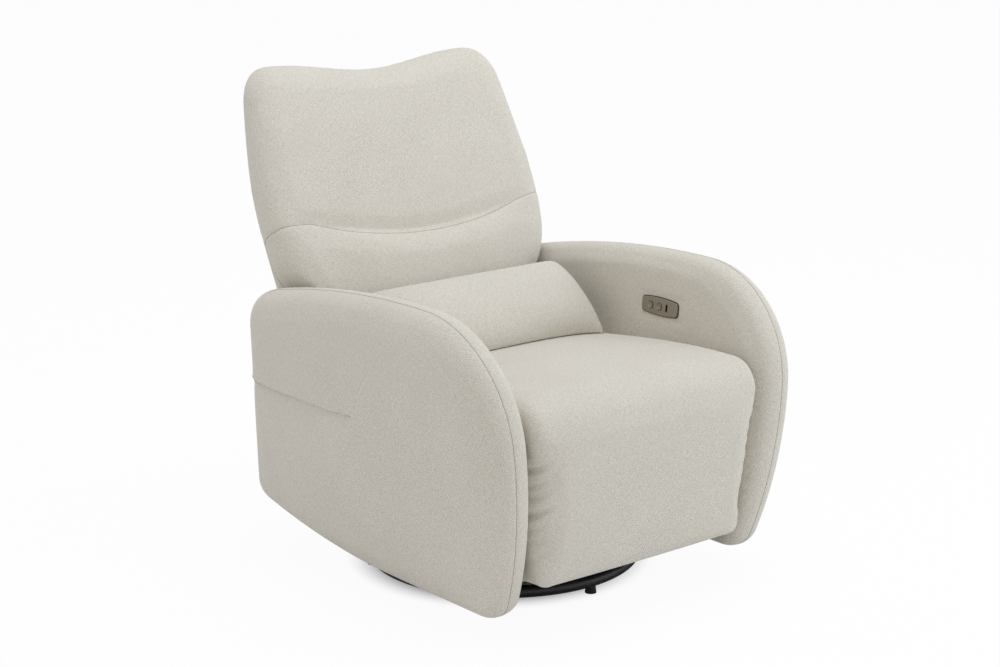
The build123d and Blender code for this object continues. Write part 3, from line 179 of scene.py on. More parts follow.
def refine(piece):
    """Split each face into four, so that curves stay smooth from close up."""
    return modify(piece, "SUBSURF", levels=1, render_levels=1)


def swell(piece, cap, held=None):
    """Blow the cover up as cloth. Faces swell up to the cap, and edges are hardly drawn in."""
    before, up = points(piece.data), facings(piece.data)
    cloth = piece.modifiers.new("Cloth", "CLOTH")
    cloth.settings.use_pressure = True
    cloth.settings.uniform_pressure_force = SWELL_PRESSURE
    cloth.settings.effector_weights.gravity = 0
    cloth.point_cache.frame_end = SWELL_FRAMES
    if held is not None:
        group = piece.vertex_groups.new(name="sewn")
        group.add(np.flatnonzero(held).tolist(), 1.0, "REPLACE")
        cloth.settings.vertex_group_mass = "sewn"
    for step in range(1, SWELL_FRAMES + 1):
        bpy.context.scene.frame_set(step)
    activate(piece)
    bpy.ops.object.modifier_apply(modifier=cloth.name)
    bpy.context.scene.frame_set(1)
    out = np.sum((points(piece.data) - before) * up, axis=1, keepdims=True)
    move_points(piece, before + up * np.clip(out, -INWARD_SHARE * cap, cap))
    print(piece.name, "swelled by", (out.mean() / MM).round(1), "mm before the cap")
    return modify(piece, "SMOOTH", factor=SMOOTHING, iterations=SWELL_ROUNDS)


def inward(outline):
    """Unit vectors that point into a closed outline that runs anticlockwise."""
    along = np.roll(outline, -1, 0) - np.roll(outline, 1, 0)
    along /= np.linalg.norm(along, axis=1, keepdims=True)
    return np.stack([-along[:, 1], along[:, 0]], 1)


def even_loop(outline, count):
    """The same closed outline with evenly spaced points, anticlockwise."""
    closed = np.vstack([outline, outline[:1]])
    x, y = closed[:, 0], closed[:, 1]
    if np.sum(x[:-1] * y[1:] - x[1:] * y[:-1]) < 0:
        closed = closed[::-1]
    run = np.r_[0, np.cumsum(np.linalg.norm(np.diff(closed, axis=0), axis=1))]
    stops = np.linspace(0, run[-1], count, endpoint=False)
    return np.stack([np.interp(stops, run, closed[:, k]) for k in (0, 1)], 1)


# %% [markdown]
# ## Camera
# The picture was taken with a long lens from the chair's front left, from half a metre above its back.
# The place and angle were measured once from edges whose real sizes are known, and are kept as numbers.

# %% Camera
PHOTO_WIDTH = 1000
FOCAL_PIXELS = 2226.6
SENSOR_WIDTH = 36.0
CAMERA_PLACE = Vector((-2.8444, -3.4675, 1.6239))
CAMERA_AZIMUTH = math.radians(-39.4109)
CAMERA_ELEVATION = math.radians(14.2591)

bpy.ops.object.select_all(action="DESELECT")
bpy.ops.object.camera_add(location=CAMERA_PLACE)
camera = bpy.context.object
level = math.cos(CAMERA_ELEVATION)
backwards = Vector((
    math.sin(CAMERA_AZIMUTH) * level,
    -math.cos(CAMERA_AZIMUTH) * level,
    math.sin(CAMERA_ELEVATION),
))
camera.rotation_euler = (-backwards).to_track_quat("-Z", "Y").to_euler()
camera.data.sensor_width = SENSOR_WIDTH
camera.data.lens = FOCAL_PIXELS * SENSOR_WIDTH / PHOTO_WIDTH
bpy.context.scene.camera = camera
print("camera lens", round(camera.data.lens, 2), "mm")

# %% [markdown]
# ## Shader arithmetic
# A finish is a formula over the surface. Written as nodes one by one it is hard to read, so a small
# class wraps a socket and lets plain arithmetic add the Math nodes. All other nodes come from one method.

# %% Wire and Finish classes


class Wire:
    """One output socket. Arithmetic on it adds Math nodes to its finish."""

    def __init__(self, finish, socket):
        self.finish = finish
        self.socket = socket

    def math(self, operation, first, second=0.0):
        return self.finish.node("ShaderNodeMath", {"operation": operation}, {0: first, 1: second})

    def __add__(self, other):
        return self.math("ADD", self, other)

    def __sub__(self, other):
        return self.math("SUBTRACT", self, other)

    def __rsub__(self, other):
        return self.math("SUBTRACT", other, self)

    def __mul__(self, other):
        return self.math("MULTIPLY", self, other)

    def __truediv__(self, other):
        return self.math("DIVIDE", self, other)

    def __pow__(self, other):
        return self.math("POWER", self, other)

    def __abs__(self):
        return self.math("ABSOLUTE", self)

    def sine(self):
        return self.math("SINE", self)

    __radd__ = __add__
    __rmul__ = __mul__


class Finish:
    """A material, its nodes and its Principled shader. Constants go straight onto the shader."""

    def __init__(self, name, **constants):
        self.material = bpy.data.materials.new(name)
        self.material.use_nodes = True
        self.tree = self.material.node_tree
        self.shader = self.tree.nodes["Principled BSDF"]
        for socket, value in constants.items():
            self.shader.inputs[socket.replace("_", " ").title()].default_value = value

    def node(self, kind, settings=None, sockets=None, output=0):
        """Add a node: its settings first, then values or links for its sockets."""
        made = self.tree.nodes.new(kind)
        for name, value in (settings or {}).items():
            setattr(made, name, value)
        for name, value in (sockets or {}).items():
            if isinstance(value, Wire):
                self.tree.links.new(value.socket, made.inputs[name])
            else:
                made.inputs[name].default_value = value
        return Wire(self, made.outputs[output])

    def feed(self, socket, wire):
        self.tree.links.new(wire.socket, self.shader.inputs[socket])

    def noise(self, place, scale, detail=2.0):
        return self.node("ShaderNodeTexNoise", None, {"Vector": place, "Scale": scale, "Detail": detail})

    def mix(self, share, first, second):
        """Colour between two colours."""
        return self.node("ShaderNodeMix", {"data_type": "RGBA"}, {0: share, 6: first, 7: second}, 2)

    def bump(self, height, strength, distance):
        sockets = {"Height": height, "Strength": strength, "Distance": distance}
        self.feed("Normal", self.node("ShaderNodeBump", None, sockets))


def srgb(red, green, blue):
    """Linear colour from the 0 to 255 values that a screen shows."""
    channels = [c / 255 for c in (red, green, blue)]
    return [c / 12.92 if c <= 0.04045 else ((c + 0.055) / 1.055) ** 2.4 for c in channels] + [1.0]


# %% [markdown]
# ## Oatmeal cloth
# The real cloth is a soft twill with a linen look: thick, slightly uneven yarns in two close shades.
# A picture of cloth would stretch over the curves, so the weave is worked out from each point's place at
# rest, once for each of the three directions that the cloth can face, and the three are blended. Place
# and facing are stored on the mesh, so that the weave stays put when the legrest swings up.

# %% Cloth and thread finishes
TWILL_PITCH = 4.6 * MM
TWILL_SHARE = 0.17
YARN_LONG = 120.0
YARN_THIN = 780.0
YARN_WANDER = 5.0
FLECK_SCALE = 780.0
PATCH_SCALE = 9.0
WEAVE_CONTRAST = 2.2
FLECK_CONTRAST = 2.0
PATCH_CONTRAST = 0.2
MEAN_SHADE = 0.55
WEAVE_BUMP = (0.6, 0.8 * MM)
CLOTH_LIGHT = srgb(226, 221, 211)
CLOTH_DARK = srgb(184, 177, 163)
FACING_SHARPNESS = 6.0
THREAD_LIGHT = srgb(176, 168, 152)
THREAD_DARK = srgb(142, 134, 118)
THREAD_TWIST = 700.0


def weave(finish, across, up):
    """Height of a twill from two directions in the cloth, with yarns that are thick and thin as spun."""
    streaks = []
    for wide, tall in ((YARN_LONG, YARN_THIN), (YARN_THIN, YARN_LONG)):
        spot = finish.node("ShaderNodeCombineXYZ", None, {0: across * wide, 1: up * tall})
        streaks.append(finish.noise(spot, 1.0))
    diagonal = ((across + up) * (2 * math.pi / TWILL_PITCH) + streaks[0] * YARN_WANDER).sine()
    return (streaks[0] + streaks[1]) * 0.5 + diagonal * TWILL_SHARE


def cloth_finish():
    cloth = Finish("oatmeal_cloth", roughness=0.93, sheen_weight=0.2, sheen_roughness=0.5)
    place = cloth.node("ShaderNodeAttribute", {"attribute_name": "rest_place"}, output=1)
    facing = cloth.node("ShaderNodeAttribute", {"attribute_name": "rest_facing"}, output=1)
    x, y, z = [cloth.node("ShaderNodeSeparateXYZ", None, {0: place}, k) for k in range(3)]
    parts = [cloth.node("ShaderNodeSeparateXYZ", None, {0: facing}, k) for k in range(3)]
    shares = [abs(part) ** FACING_SHARPNESS for part in parts]
    total = shares[0] + shares[1] + shares[2] + 1e-4
    height = weave(cloth, y, z) * shares[0] + weave(cloth, x, z) * shares[1] + weave(cloth, x, y) * shares[2]
    height = height / total
    fleck = cloth.noise(place, FLECK_SCALE)
    patch = cloth.noise(place, PATCH_SCALE)
    shade = (height - 0.5) * WEAVE_CONTRAST + (fleck - 0.5) * FLECK_CONTRAST
    shade = shade + (patch - 0.5) * PATCH_CONTRAST + MEAN_SHADE
    cloth.feed("Base Color", cloth.mix(shade, CLOTH_DARK, CLOTH_LIGHT))
    cloth.bump(height + fleck * 0.5, *WEAVE_BUMP)
    return cloth.material


def thread_finish():
    thread = Finish("seam_thread", roughness=0.85)
    place = thread.node("ShaderNodeTexCoord", output=3)
    twist = thread.noise(place, THREAD_TWIST)
    thread.feed("Base Color", thread.mix(twist, THREAD_DARK, THREAD_LIGHT))
    return thread.material


CLOTH = cloth_finish()
THREAD = thread_finish()
print("finish:", CLOTH.name, len(CLOTH.node_tree.nodes), "nodes")

# %% [markdown]
# ## Dressing a piece
# Every soft piece ends the same way: its place and facing are stored for the weave, it gets the cloth, the
# plain pads that it stands for are hidden, and it's set on the body that it moves with.

# %% Dress


def dress(piece, *nodes, body="chassis", fill=0.8):
    """Give a soft piece its cloth, store place and facing, and set it on its body."""
    for name, values in (("rest_place", points(piece.data)), ("rest_facing", facings(piece.data))):
        layer = piece.data.attributes.new(name, "FLOAT_VECTOR", "POINT")
        layer.data.foreach_set("vector", values.astype(np.float32).ravel())
    piece.data.materials.clear()
    piece.data.materials.append(CLOTH)
    activate(piece)
    bpy.ops.object.shade_smooth()
    if nodes:
        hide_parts(*nodes)
    if body:
        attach(piece, body)
    print(piece.name, len(piece.data.polygons), "faces, for", ", ".join(nodes) or "no node")
    return piece


# %% [markdown]
# ## Sewing
# A seam pulls the padding in along a line, and shows a thin dark line with small stitches in it. The pull is
# made by moving nearby points inwards. The stitches are real pieces: one is modelled, and copies of it are
# laid along the line, each on the padded surface and turned along the seam.

# %% Grooves and stitches
STITCH_PITCH = 6.5 * MM
STITCH_LENGTH = 3.8 * MM
STITCH_RADIUS = 0.5 * MM
LINE_RADIUS = 0.5 * MM
LINE_SIDES = 6
LINE_STEP = 3 * MM
GROOVE_REACH = 4


def path_distance(path, places, reach):
    """Distance of each point to a path, worked out only where it can be below the reach."""
    tree = KDTree(len(path))
    for i, spot in enumerate(path):
        tree.insert(spot, i)
    tree.balance()
    far = np.full(len(places), np.inf)
    low, high = path.min(0) - reach, path.max(0) + reach
    for i in np.flatnonzero(np.all((places > low) & (places < high), axis=1)):
        far[i] = tree.find(places[i])[2]
    return far


def groove(piece, path, depth, width):
    """Pull a piece in along a path."""
    places = points(piece.data)
    far = path_distance(path, places, GROOVE_REACH * width)
    pull = depth * np.exp(-((far / width) ** 2))
    move_points(piece, places - facings(piece.data) * pull[:, None])


def even_path(path, step, closed=False):
    """The same path with evenly spaced points."""
    path = np.vstack([path, path[:1]]) if closed else np.asarray(path)
    run = np.r_[0, np.cumsum(np.linalg.norm(np.diff(path, axis=0), axis=1))]
    stops = np.linspace(0, run[-1], max(2, int(run[-1] / step)), endpoint=not closed)
    return np.stack([np.interp(stops, run, path[:, k]) for k in range(3)], 1)


def lay(piece, path):
    """The nearest places on a piece's surface, and the way that the surface faces there."""
    tree = surface(piece)
    found = [tree.find_nearest(spot) for spot in path]
    return np.array([f[0] for f in found]), np.array([f[1] for f in found])


def make_stitch():
    """One stitch: a short thread that dips at both ends."""
    bpy.ops.object.select_all(action="DESELECT")
    bpy.ops.mesh.primitive_uv_sphere_add(segments=6, ring_count=5, radius=STITCH_RADIUS)
    stitch = bpy.context.object
    bpy.ops.transform.resize(value=(1, 1, STITCH_LENGTH / STITCH_RADIUS / 2))
    bpy.ops.object.transform_apply(location=True, rotation=True, scale=True)
    shape = points(stitch.data)
    shape[:, 0] -= STITCH_RADIUS * (np.abs(shape[:, 2]) * 2 / STITCH_LENGTH) ** 2
    faces = [tuple(p.vertices) for p in stitch.data.polygons]
    bpy.data.objects.remove(stitch)
    return shape, faces


STITCH, STITCH_FACES = make_stitch()


def sew(name, piece, path, body, closed=False, stitched=True):
    """Lay a seam line and its stitches on a piece."""
    line = even_path(path, LINE_STEP, closed)
    spots, up = lay(piece, line)
    along = np.roll(spots, -1, 0) - np.roll(spots, 1, 0)
    if not closed:
        along[0], along[-1] = spots[1] - spots[0], spots[-1] - spots[-2]
    along /= np.maximum(np.linalg.norm(along, axis=1, keepdims=True), 1e-9)
    across = np.cross(along, up)
    corners, faces = [], []
    turn = np.linspace(0, 2 * math.pi, LINE_SIDES, endpoint=False)
    for spot, side, top in zip(spots, across, up):
        ring = np.outer(np.cos(turn), side) + np.outer(np.sin(turn), top)
        corners.extend(spot + LINE_RADIUS * ring)
    for i in range(len(spots) if closed else len(spots) - 1):
        low, high = LINE_SIDES * i, LINE_SIDES * ((i + 1) % len(spots))
        for k in range(LINE_SIDES):
            m = (k + 1) % LINE_SIDES
            faces.append((low + k, low + m, high + m, high + k))
    if not closed:
        faces.append(tuple(range(LINE_SIDES)))
        faces.append(tuple(range(len(corners) - LINE_SIDES, len(corners))))
    step = max(1, round(STITCH_PITCH / LINE_STEP))
    for i in range(0, len(spots), step) if stitched else ():
        first = len(corners)
        axes = np.array([up[i], across[i], along[i]])
        corners.extend(STITCH @ axes + spots[i] + up[i] * LINE_RADIUS)
        faces.extend(tuple(first + k for k in face) for face in STITCH_FACES)
    seam = new_piece(name, corners, faces)
    bpy.ops.object.shade_smooth()
    seam.data.materials.append(THREAD)
    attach(seam, body)
    print(name, len(spots), "places")
    return seam


# %% [markdown]
# ## Clamshell arms
# An arm is a board padded on both sides and covered by an inner and an outer panel, sewn together along
# the middle of a full-round edge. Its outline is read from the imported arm, so it can't drift from it.
# Rings run from the inner face over the round edge to the outer face. The right arm is swelled as cloth,
# and the left one is its mirror image.

# %% Arm outline and body
ARM_LEAN = 0.088
ARM_X = 0.3485
ARM_REF_Z = 0.357
ARM_HALF = 51 * MM
ARM_SWELL = 4 * MM
ARM_RIM_SWELL = 0.5 * MM
INNER_SQUARE = 2 / 3
OUTER_CROWN = 6 * MM
INNER_CROWN = 1 * MM
CROWN_REACH = 130 * MM
HELD_WIDTH = 4 * MM
RIM_SLACK = 0.2 * MM
ARM_RING_POINTS = 420
ARM_RINGS = 25
SLICE = 4000
tilt = Vector((1, 0, -ARM_LEAN)).normalized()
rise = Vector((ARM_LEAN, 0, 1)).normalized()
ARM_AXES = np.array([tilt, (0, 1, 0), rise])
ARM_ORIGIN = np.array([ARM_X, 0, ARM_REF_Z])


def arm_local(places, side):
    """Depth from the seam plane (outwards), y and height in the leaning arm."""
    return (places * [side, 1, 1] - ARM_ORIGIN) @ ARM_AXES.T


def arm_world(local, side):
    return (local @ ARM_AXES + ARM_ORIGIN) * [side, 1, 1]


def arm_outline():
    local = arm_local(points(NODES["arm_outer_pad_right"].data), 1)
    rim = local[np.abs(local[:, 0]) < RIM_SLACK][:, 1:]
    hull = convex_hull_2d([tuple(p) for p in rim])
    return even_loop(rim[hull], ARM_RING_POINTS)


def loop_distance(flat, loop):
    """Distance of flat points to a loop, worked out in slices to save memory."""
    slices = np.array_split(flat, max(1, len(flat) // SLICE))
    return np.concatenate([np.sqrt(((s[:, None] - loop[None]) ** 2).sum(2).min(1)) for s in slices])


OUTLINE = arm_outline()
into = inward(OUTLINE)
half = ARM_HALF - ARM_SWELL
rings = []
for angle in np.linspace(-math.pi / 2, math.pi / 2, ARM_RINGS):
    power = 1 if angle > 0 else INNER_SQUARE
    loop = OUTLINE + into * (ARM_RIM_SWELL + ARM_HALF * (1 - math.cos(angle) ** power))
    depth = np.full((len(loop), 1), half * math.copysign(abs(math.sin(angle)) ** power, angle))
    rings.append(arm_world(np.hstack([depth, loop]), 1))
arm_right = foam(from_rings("arm_cover_right", np.array(rings)))

local = arm_local(points(arm_right.data), 1)
inset = loop_distance(local[:, 1:], OUTLINE)
crown = np.where(local[:, 0] > 0, OUTER_CROWN, -INNER_CROWN) * ramp(inset, 0, CROWN_REACH)
local[:, 0] += crown * ramp(inset, 0, ARM_HALF)
move_points(arm_right, arm_world(local, 1))
swell(arm_right, ARM_SWELL, np.abs(local[:, 0]) < HELD_WIDTH)
refine(arm_right)

arm_left = bpy.data.objects.new("arm_cover_left", arm_right.data.copy())
bpy.context.scene.collection.objects.link(arm_left)
move_points(arm_left, points(arm_left.data) * [-1, 1, 1])
arm_left.data.flip_normals()
print("arms:", len(arm_right.data.vertices), "points each")

# %% [markdown]
# ## Seam, control recess and pocket of the arms
# The right arm's inner face is pressed in under the control plate, so that the plate stands proud and the
# cloth tucks in behind its edge. The left arm's outer face has a slit pocket: above the slit the panel
# stands out as a soft lip, and below it the cloth dips behind that lip. A thin dark thread line with no
# stitches lies in the slit: it is painted shade for the dark gap under the lip.

# %% Arm seam, recess and pocket
PLATE_RECESS = (18 * MM, 2 * MM)
PLATE_SINK = 0.8 * MM
POCKET_FRONT_Y = -0.037
POCKET_REAR_Y = 0.352
POCKET_Z = 0.393
POCKET_SAG = 3 * MM
POCKET_DIP, POCKET_DIP_REACH = 6 * MM, 18 * MM
POCKET_LIP, POCKET_LIP_REACH = 2 * MM, 10 * MM
POCKET_START = 20 * MM
SLIT_POINTS = 140
SLIT_END_GROOVE = (2.5 * MM, 6 * MM)
ARM_SEAM_GROOVE = (0.9 * MM, 3.5 * MM)
ARM_SEAM_STEP = 1.5 * MM

plate_low, plate_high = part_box("control_bezel")
middle = arm_local(np.array([(plate_low + plate_high) / 2]), 1)[0]
local = arm_local(points(arm_right.data), 1)
off = np.maximum(
    np.abs(local[:, 1] - middle[1]) - (plate_high.y - plate_low.y) / 2,
    np.abs(local[:, 2] - middle[2]) - (plate_high.z - plate_low.z) / 2,
)
near = ramp(off, *PLATE_RECESS) * (local[:, 0] < -ARM_HALF / 2)
local[:, 0] += near * np.maximum(0, -(ARM_HALF - PLATE_SINK) - local[:, 0])
move_points(arm_right, arm_world(local, 1))

share = np.linspace(0, 1, SLIT_POINTS)[:, None]
slit = np.hstack([
    np.full_like(share, ARM_HALF + OUTER_CROWN),
    POCKET_FRONT_Y + (POCKET_REAR_Y - POCKET_FRONT_Y) * share,
    POCKET_Z - ARM_REF_Z - POCKET_SAG * np.sin(math.pi * share),
])
local = arm_local(points(arm_left.data), -1)
level = local[:, 2] - np.interp(local[:, 1], slit[:, 1], slit[:, 2])
along = ramp(local[:, 1], POCKET_FRONT_Y, POCKET_FRONT_Y + POCKET_START) * (local[:, 0] > 0)
dip = POCKET_DIP * np.exp(np.minimum(level, 0) / POCKET_DIP_REACH) * (level <= 0)
lip = POCKET_LIP * np.exp(-np.maximum(level, 0) / POCKET_LIP_REACH) * (level > 0)
local[:, 0] += along * (lip - dip)
move_points(arm_left, arm_world(local, -1))
slit_path = lay(arm_left, arm_world(slit, -1))[0]
groove(arm_left, slit_path[:1], *SLIT_END_GROOVE)

for arm, side, name in ((arm_right, 1, "right"), (arm_left, -1, "left")):
    seam = arm_world(np.hstack([np.zeros((len(OUTLINE), 1)), OUTLINE]), side)
    groove(arm, even_path(seam, ARM_SEAM_STEP, True), *ARM_SEAM_GROOVE)
    dress(arm, "arm_outer_pad_" + name, "arm_inner_pad_" + name, fill=0.9)
    sew("arm_seam_" + name, arm, seam, "chassis", closed=True)
# The slit's thin dark line has no stitches: it is painted shade for the gap that the lip shadows.
sew("pocket_slit_shade_line", arm_left, slit_path, "chassis", stitched=False)

# %% [markdown]
# ## Seat and legrest in one cover
# The cover runs from the back of the seat over the knee and down the front, with no seam between. Its
# side view is one closed outline with an inner corner.
# Its front edges are rounder than its hidden rear edges, so that the sides stay full behind the arms.

# %% Chaise outline and body
SEAT_LOW, SEAT_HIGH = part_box("seat_cushion")
LEG_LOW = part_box("legrest_pad")[0]
KNEE = (-0.411, 0.411)
KNEE_ROUND = 75 * MM
CHAISE_HALF = 0.272
CHAISE_EDGE = 26 * MM
CHAISE_REAR_EDGE = 7 * MM
CHAISE_FRONT_WIDE, CHAISE_FRONT_DEEP = 40 * MM, 52 * MM
CHAISE_SWELL = 5 * MM
CHAISE_POINTS = 420
CHAISE_RINGS = 21
REAR_TOP_Z = 0.447
REAR_GAP = 30 * MM
REAR_ROUND = 28 * MM
SEAT_BOW = 10 * MM
FRONT_BOW = 9 * MM
HEEL_Y = -0.440
HEEL_RISE = 26 * MM
HEEL_ROUND = 24 * MM
LIP_Y = -0.384
LIP_RISES = (2 * MM, 19 * MM)
INNER_Y = -0.405
INNER_RISES = (22 * MM, 50 * MM)
INNER_ROUND = 12 * MM
KNEE_REST = 10 * MM
REAR_FOOT = (20 * MM, 2 * MM)
HIDDEN_FACING = (0.3, 0.7)
FRONT_FACING = (0.5, 0.9)
FRONT_TOP = (0.40, 0.32)
FRONT_FOOT = (LEG_LOW.z + 0.03, LEG_LOW.z + 0.09)
BEHIND_PAD_Y = INNER_Y + 20 * MM


def arc(centre, radius, start, end, count):
    """Points along an arc, angles in degrees."""
    turn = np.radians(np.linspace(start, end, count))
    return np.stack([centre[0] + radius * np.cos(turn), centre[1] + radius * np.sin(turn)], 1)


def bow(start, end, height, count):
    """Points from start to end along a shallow bow that stands out on the right."""
    start, end = np.array(start), np.array(end)
    share = np.linspace(0, 1, count)[:, None]
    run = end - start
    out = np.array([run[1], -run[0]]) / np.linalg.norm(run)
    return start + run * share + out * height * 4 * share * (1 - share)


def chaise_outline():
    """Side view of seat and legrest, as y and z, from the seat's rear top over the knee and back."""
    rear_y = SEAT_HIGH.y - REAR_GAP
    front_y = KNEE[0] - KNEE_ROUND
    heel_z = LEG_LOW.z + HEEL_RISE
    lip_low, lip_high = [LEG_LOW.z + lift for lift in LIP_RISES]
    inner_low, inner_high = [LEG_LOW.z + lift for lift in INNER_RISES]
    path = [
        arc((rear_y, REAR_TOP_Z - REAR_ROUND), REAR_ROUND, 0, 90, 8),
        bow((rear_y, REAR_TOP_Z), (KNEE[0] + KNEE_REST, KNEE[1] + KNEE_ROUND), SEAT_BOW, 40)[1:],
        arc(KNEE, KNEE_ROUND, 94, 180, 24),
        bow((front_y, KNEE[1] - KNEE_REST), (HEEL_Y - HEEL_ROUND, heel_z), FRONT_BOW, 36),
        arc((HEEL_Y, heel_z), HEEL_ROUND, 186, 290, 10),
        np.array([(LIP_Y, lip_low), (LIP_Y, lip_high), (INNER_Y, inner_low), (INNER_Y, inner_high)]),
        np.array([(INNER_Y, SEAT_LOW.z - INNER_ROUND)]),
        arc((INNER_Y + INNER_ROUND, SEAT_LOW.z - INNER_ROUND), INNER_ROUND, 180, 90, 5),
        np.array([(SEAT_HIGH.y - REAR_FOOT[0], SEAT_LOW.z)]),
        np.array([(SEAT_HIGH.y - REAR_FOOT[1], SEAT_LOW.z + INNER_ROUND)]),
    ]
    return np.vstack(path)


outline = even_loop(chaise_outline(), CHAISE_POINTS)
into = inward(outline)
behind_pad = ramp(-into[:, 0], *HIDDEN_FACING) * (outline[:, 0] < BEHIND_PAD_Y)
under_seat = ramp(into[:, 1], *HIDDEN_FACING) * (outline[:, 0] > INNER_Y)
hidden = np.maximum(behind_pad, under_seat)[:, None]
front = ramp(outline[:, 1], *FRONT_TOP) * ramp(outline[:, 1], *FRONT_FOOT)
front = (front * ramp(into[:, 0], *FRONT_FACING))[:, None]
edge = CHAISE_EDGE + (CHAISE_REAR_EDGE - CHAISE_EDGE) * hidden
edge += (CHAISE_FRONT_DEEP - CHAISE_EDGE) * front * (1 - hidden)
wide = CHAISE_EDGE + (CHAISE_FRONT_WIDE - CHAISE_EDGE) * front * (1 - hidden)
rings = []
for angle in np.linspace(-math.pi / 2, math.pi / 2, CHAISE_RINGS):
    loop = outline + into * (CHAISE_SWELL + edge * (1 - math.cos(angle)))
    side = np.sign(angle) * (CHAISE_HALF - wide) + wide * math.sin(angle)
    rings.append(np.hstack([side, loop]))
chaise = foam(from_rings("chaise_cover", np.array(rings)))
print("chaise outline", outline.min(0).round(3), outline.max(0).round(3))

# %% [markdown]
# ## Crown and taper of the chaise
# The seat and the front are highest in the middle and fall off to the sides, and the front narrows towards
# the floor. At its sides the cloth wraps round the legrest's board, and hides the hinge behind it.

# %% Crown, taper and swelling of the chaise
SEAT_SIDE_DROPS = ((-0.36, -0.22, -0.05), (5 * MM, 12 * MM, 26 * MM))
FRONT_SIDE_DROP = 8 * MM
FRONT_DROP_Y = (-0.42, -0.47)
CROWN_POWER = 3
MAX_REACH = 1.1
CHAISE_WIDTHS = ((0.13, 0.20, 0.36, 0.42), (0.270, 0.276, 0.290, 0.297))
CHAISE_SIDE_SWELL = 1 * MM
CHAISE_WRAP = 24 * MM
WRAP_X = (0.242, 0.254)
WRAP_Y = (-0.425, -0.413)
WRAP_Z = (SEAT_LOW.z - 0.006, SEAT_LOW.z - 0.016)

places = points(chaise.data)
crown = np.minimum(np.abs(places[:, 0]) / CHAISE_HALF, MAX_REACH) ** CROWN_POWER
on_seat = ramp(places[:, 2], SEAT_LOW.z, SEAT_HIGH.z)
places[:, 2] -= np.interp(places[:, 1], *SEAT_SIDE_DROPS) * crown * on_seat
places[:, 1] += FRONT_SIDE_DROP * crown * ramp(places[:, 1], *FRONT_DROP_Y)
places[:, 0] *= (np.interp(places[:, 2], *CHAISE_WIDTHS) - CHAISE_SIDE_SWELL) / CHAISE_HALF
wrapped = CHAISE_WRAP * ramp(np.abs(places[:, 0]), *WRAP_X)
wrapped *= ramp(places[:, 1], *WRAP_Y) * ramp(places[:, 2], *WRAP_Z)
places[:, 1] = np.minimum(places[:, 1] + wrapped, np.maximum(places[:, 1], LIP_Y))
move_points(chaise, places)
swell(chaise, CHAISE_SWELL)
refine(chaise)

# %% [markdown]
# ## Gathers beside the arms
# Where the front panel turns to the sides, its cloth is gathered onto a narrower side panel. The gathers
# are short uneven folds that climb a few centimetres into the front. Two waves of unlike lengths added
# together give that unevenness, and the same folds come out at every run.

# %% Gathers
GATHER_DEPTH = 3.4 * MM
GATHER_REACH = 42 * MM
GATHER_CLIMB = 0.7
GATHER_WAVES = ((0.030, 0.3, 1.0), (0.047, 1.7, 0.8))
GATHER_TOP = (0.41, 0.35)
GATHER_FOOT = (0.115, 0.165)
GATHER_Y = (-0.41, -0.43)
GATHER_FULL_Z = (0.20, 0.26)
LOW_GATHER_SHARE = 0.3
RIGHT_GATHER_SHIFT = 2.0
RIGHT_GATHER_SHARE = 0.4
RIDGE_LIMIT = 0.6

places = points(chaise.data)
up = facings(chaise.data)
on_right = places[:, 0] > 0
from_edge = np.interp(places[:, 2], *CHAISE_WIDTHS) - np.abs(places[:, 0])
fold = np.zeros(len(places))
for length, phase, size in GATHER_WAVES:
    turn = 2 * math.pi * (places[:, 2] - GATHER_CLIMB * from_edge) / length
    fold += size * np.sin(turn + RIGHT_GATHER_SHIFT * on_right + phase)
strength = ramp(from_edge, GATHER_REACH, 0) * ramp(places[:, 1], *GATHER_Y)
strength *= ramp(places[:, 2], *GATHER_TOP) * ramp(places[:, 2], *GATHER_FOOT)
strength *= LOW_GATHER_SHARE + (1 - LOW_GATHER_SHARE) * ramp(places[:, 2], *GATHER_FULL_Z)
strength *= np.where(on_right, RIGHT_GATHER_SHARE, 1.0)
folded = np.minimum(fold, RIDGE_LIMIT) * GATHER_DEPTH * strength
move_points(chaise, places + up * folded[:, None])
dress(chaise, "seat_cushion", "legrest_pad", body=None, fill=0.9)
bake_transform(chaise)

# %% [markdown]
# ## Back
# The back is a foam body in a sewn cover: a tall upper panel with two soft horns, and a fuller lumbar band
# below a curved seam. Places on it are told as x, height t along the leaning back, and depth n in front of
# its rear face. Rings run from the rear face round the rear edge, along the bulging side, round the soft
# front edge and over the front towards its middle.

# %% Back outline and body
BACK_LEAN = math.radians(13.53)
BACK_AXES = np.array([
    (1, 0, 0),
    (0, math.sin(BACK_LEAN), math.cos(BACK_LEAN)),
    (0, -math.cos(BACK_LEAN), math.sin(BACK_LEAN)),
])
HINGE_Z = 0.42
PLAIN_REAR_Z = 0.52
cover = points(NODES["back_cover"].data)
cover = cover[cover[:, 2] > PLAIN_REAR_Z]
BACK_FOOT = np.array([0, (cover[:, 1] - (cover[:, 2] - HINGE_Z) * math.tan(BACK_LEAN)).max(), HINGE_Z])
BACK_MIDDLE_T = 0.30
BACK_POINTS = 520
BACK_REAR_ROUND = 14 * MM
BACK_EDGE = 50 * MM
BACK_EDGE_DEEP = 44 * MM
BACK_BULGES = (
    (0.0, 0.10, 0.20, 0.27, 0.36, 0.54, 0.60),
    (0.008, 0.024, 0.036, 0.038, 0.027, 0.023, 0.012),
)
HORN_DROP = 16 * MM
HORN_T = (0.42, 0.56)
DIP_DROP = 4 * MM
DIP_REACH = 0.13
HEM_DROP = 45 * MM
HEM_T = (20 * MM, 0)
HEM_HALF = 0.29
BACK_SWELL = 4 * MM
BACK_FULLNESS = 2.5 * MM
BACK_DEPTHS = ((-0.043, 0.110, 0.217, 0.479, 0.625), (0.179, 0.166, 0.148, 0.1035, 0.072))
WAIST = ((0.08, 0.125, 0.17, 0.21, 0.26), (0.262, 0.302, 0.336, 0.352, 0.37))
WAIST_N = 25 * MM
RIM_SAME = 0.1 * MM


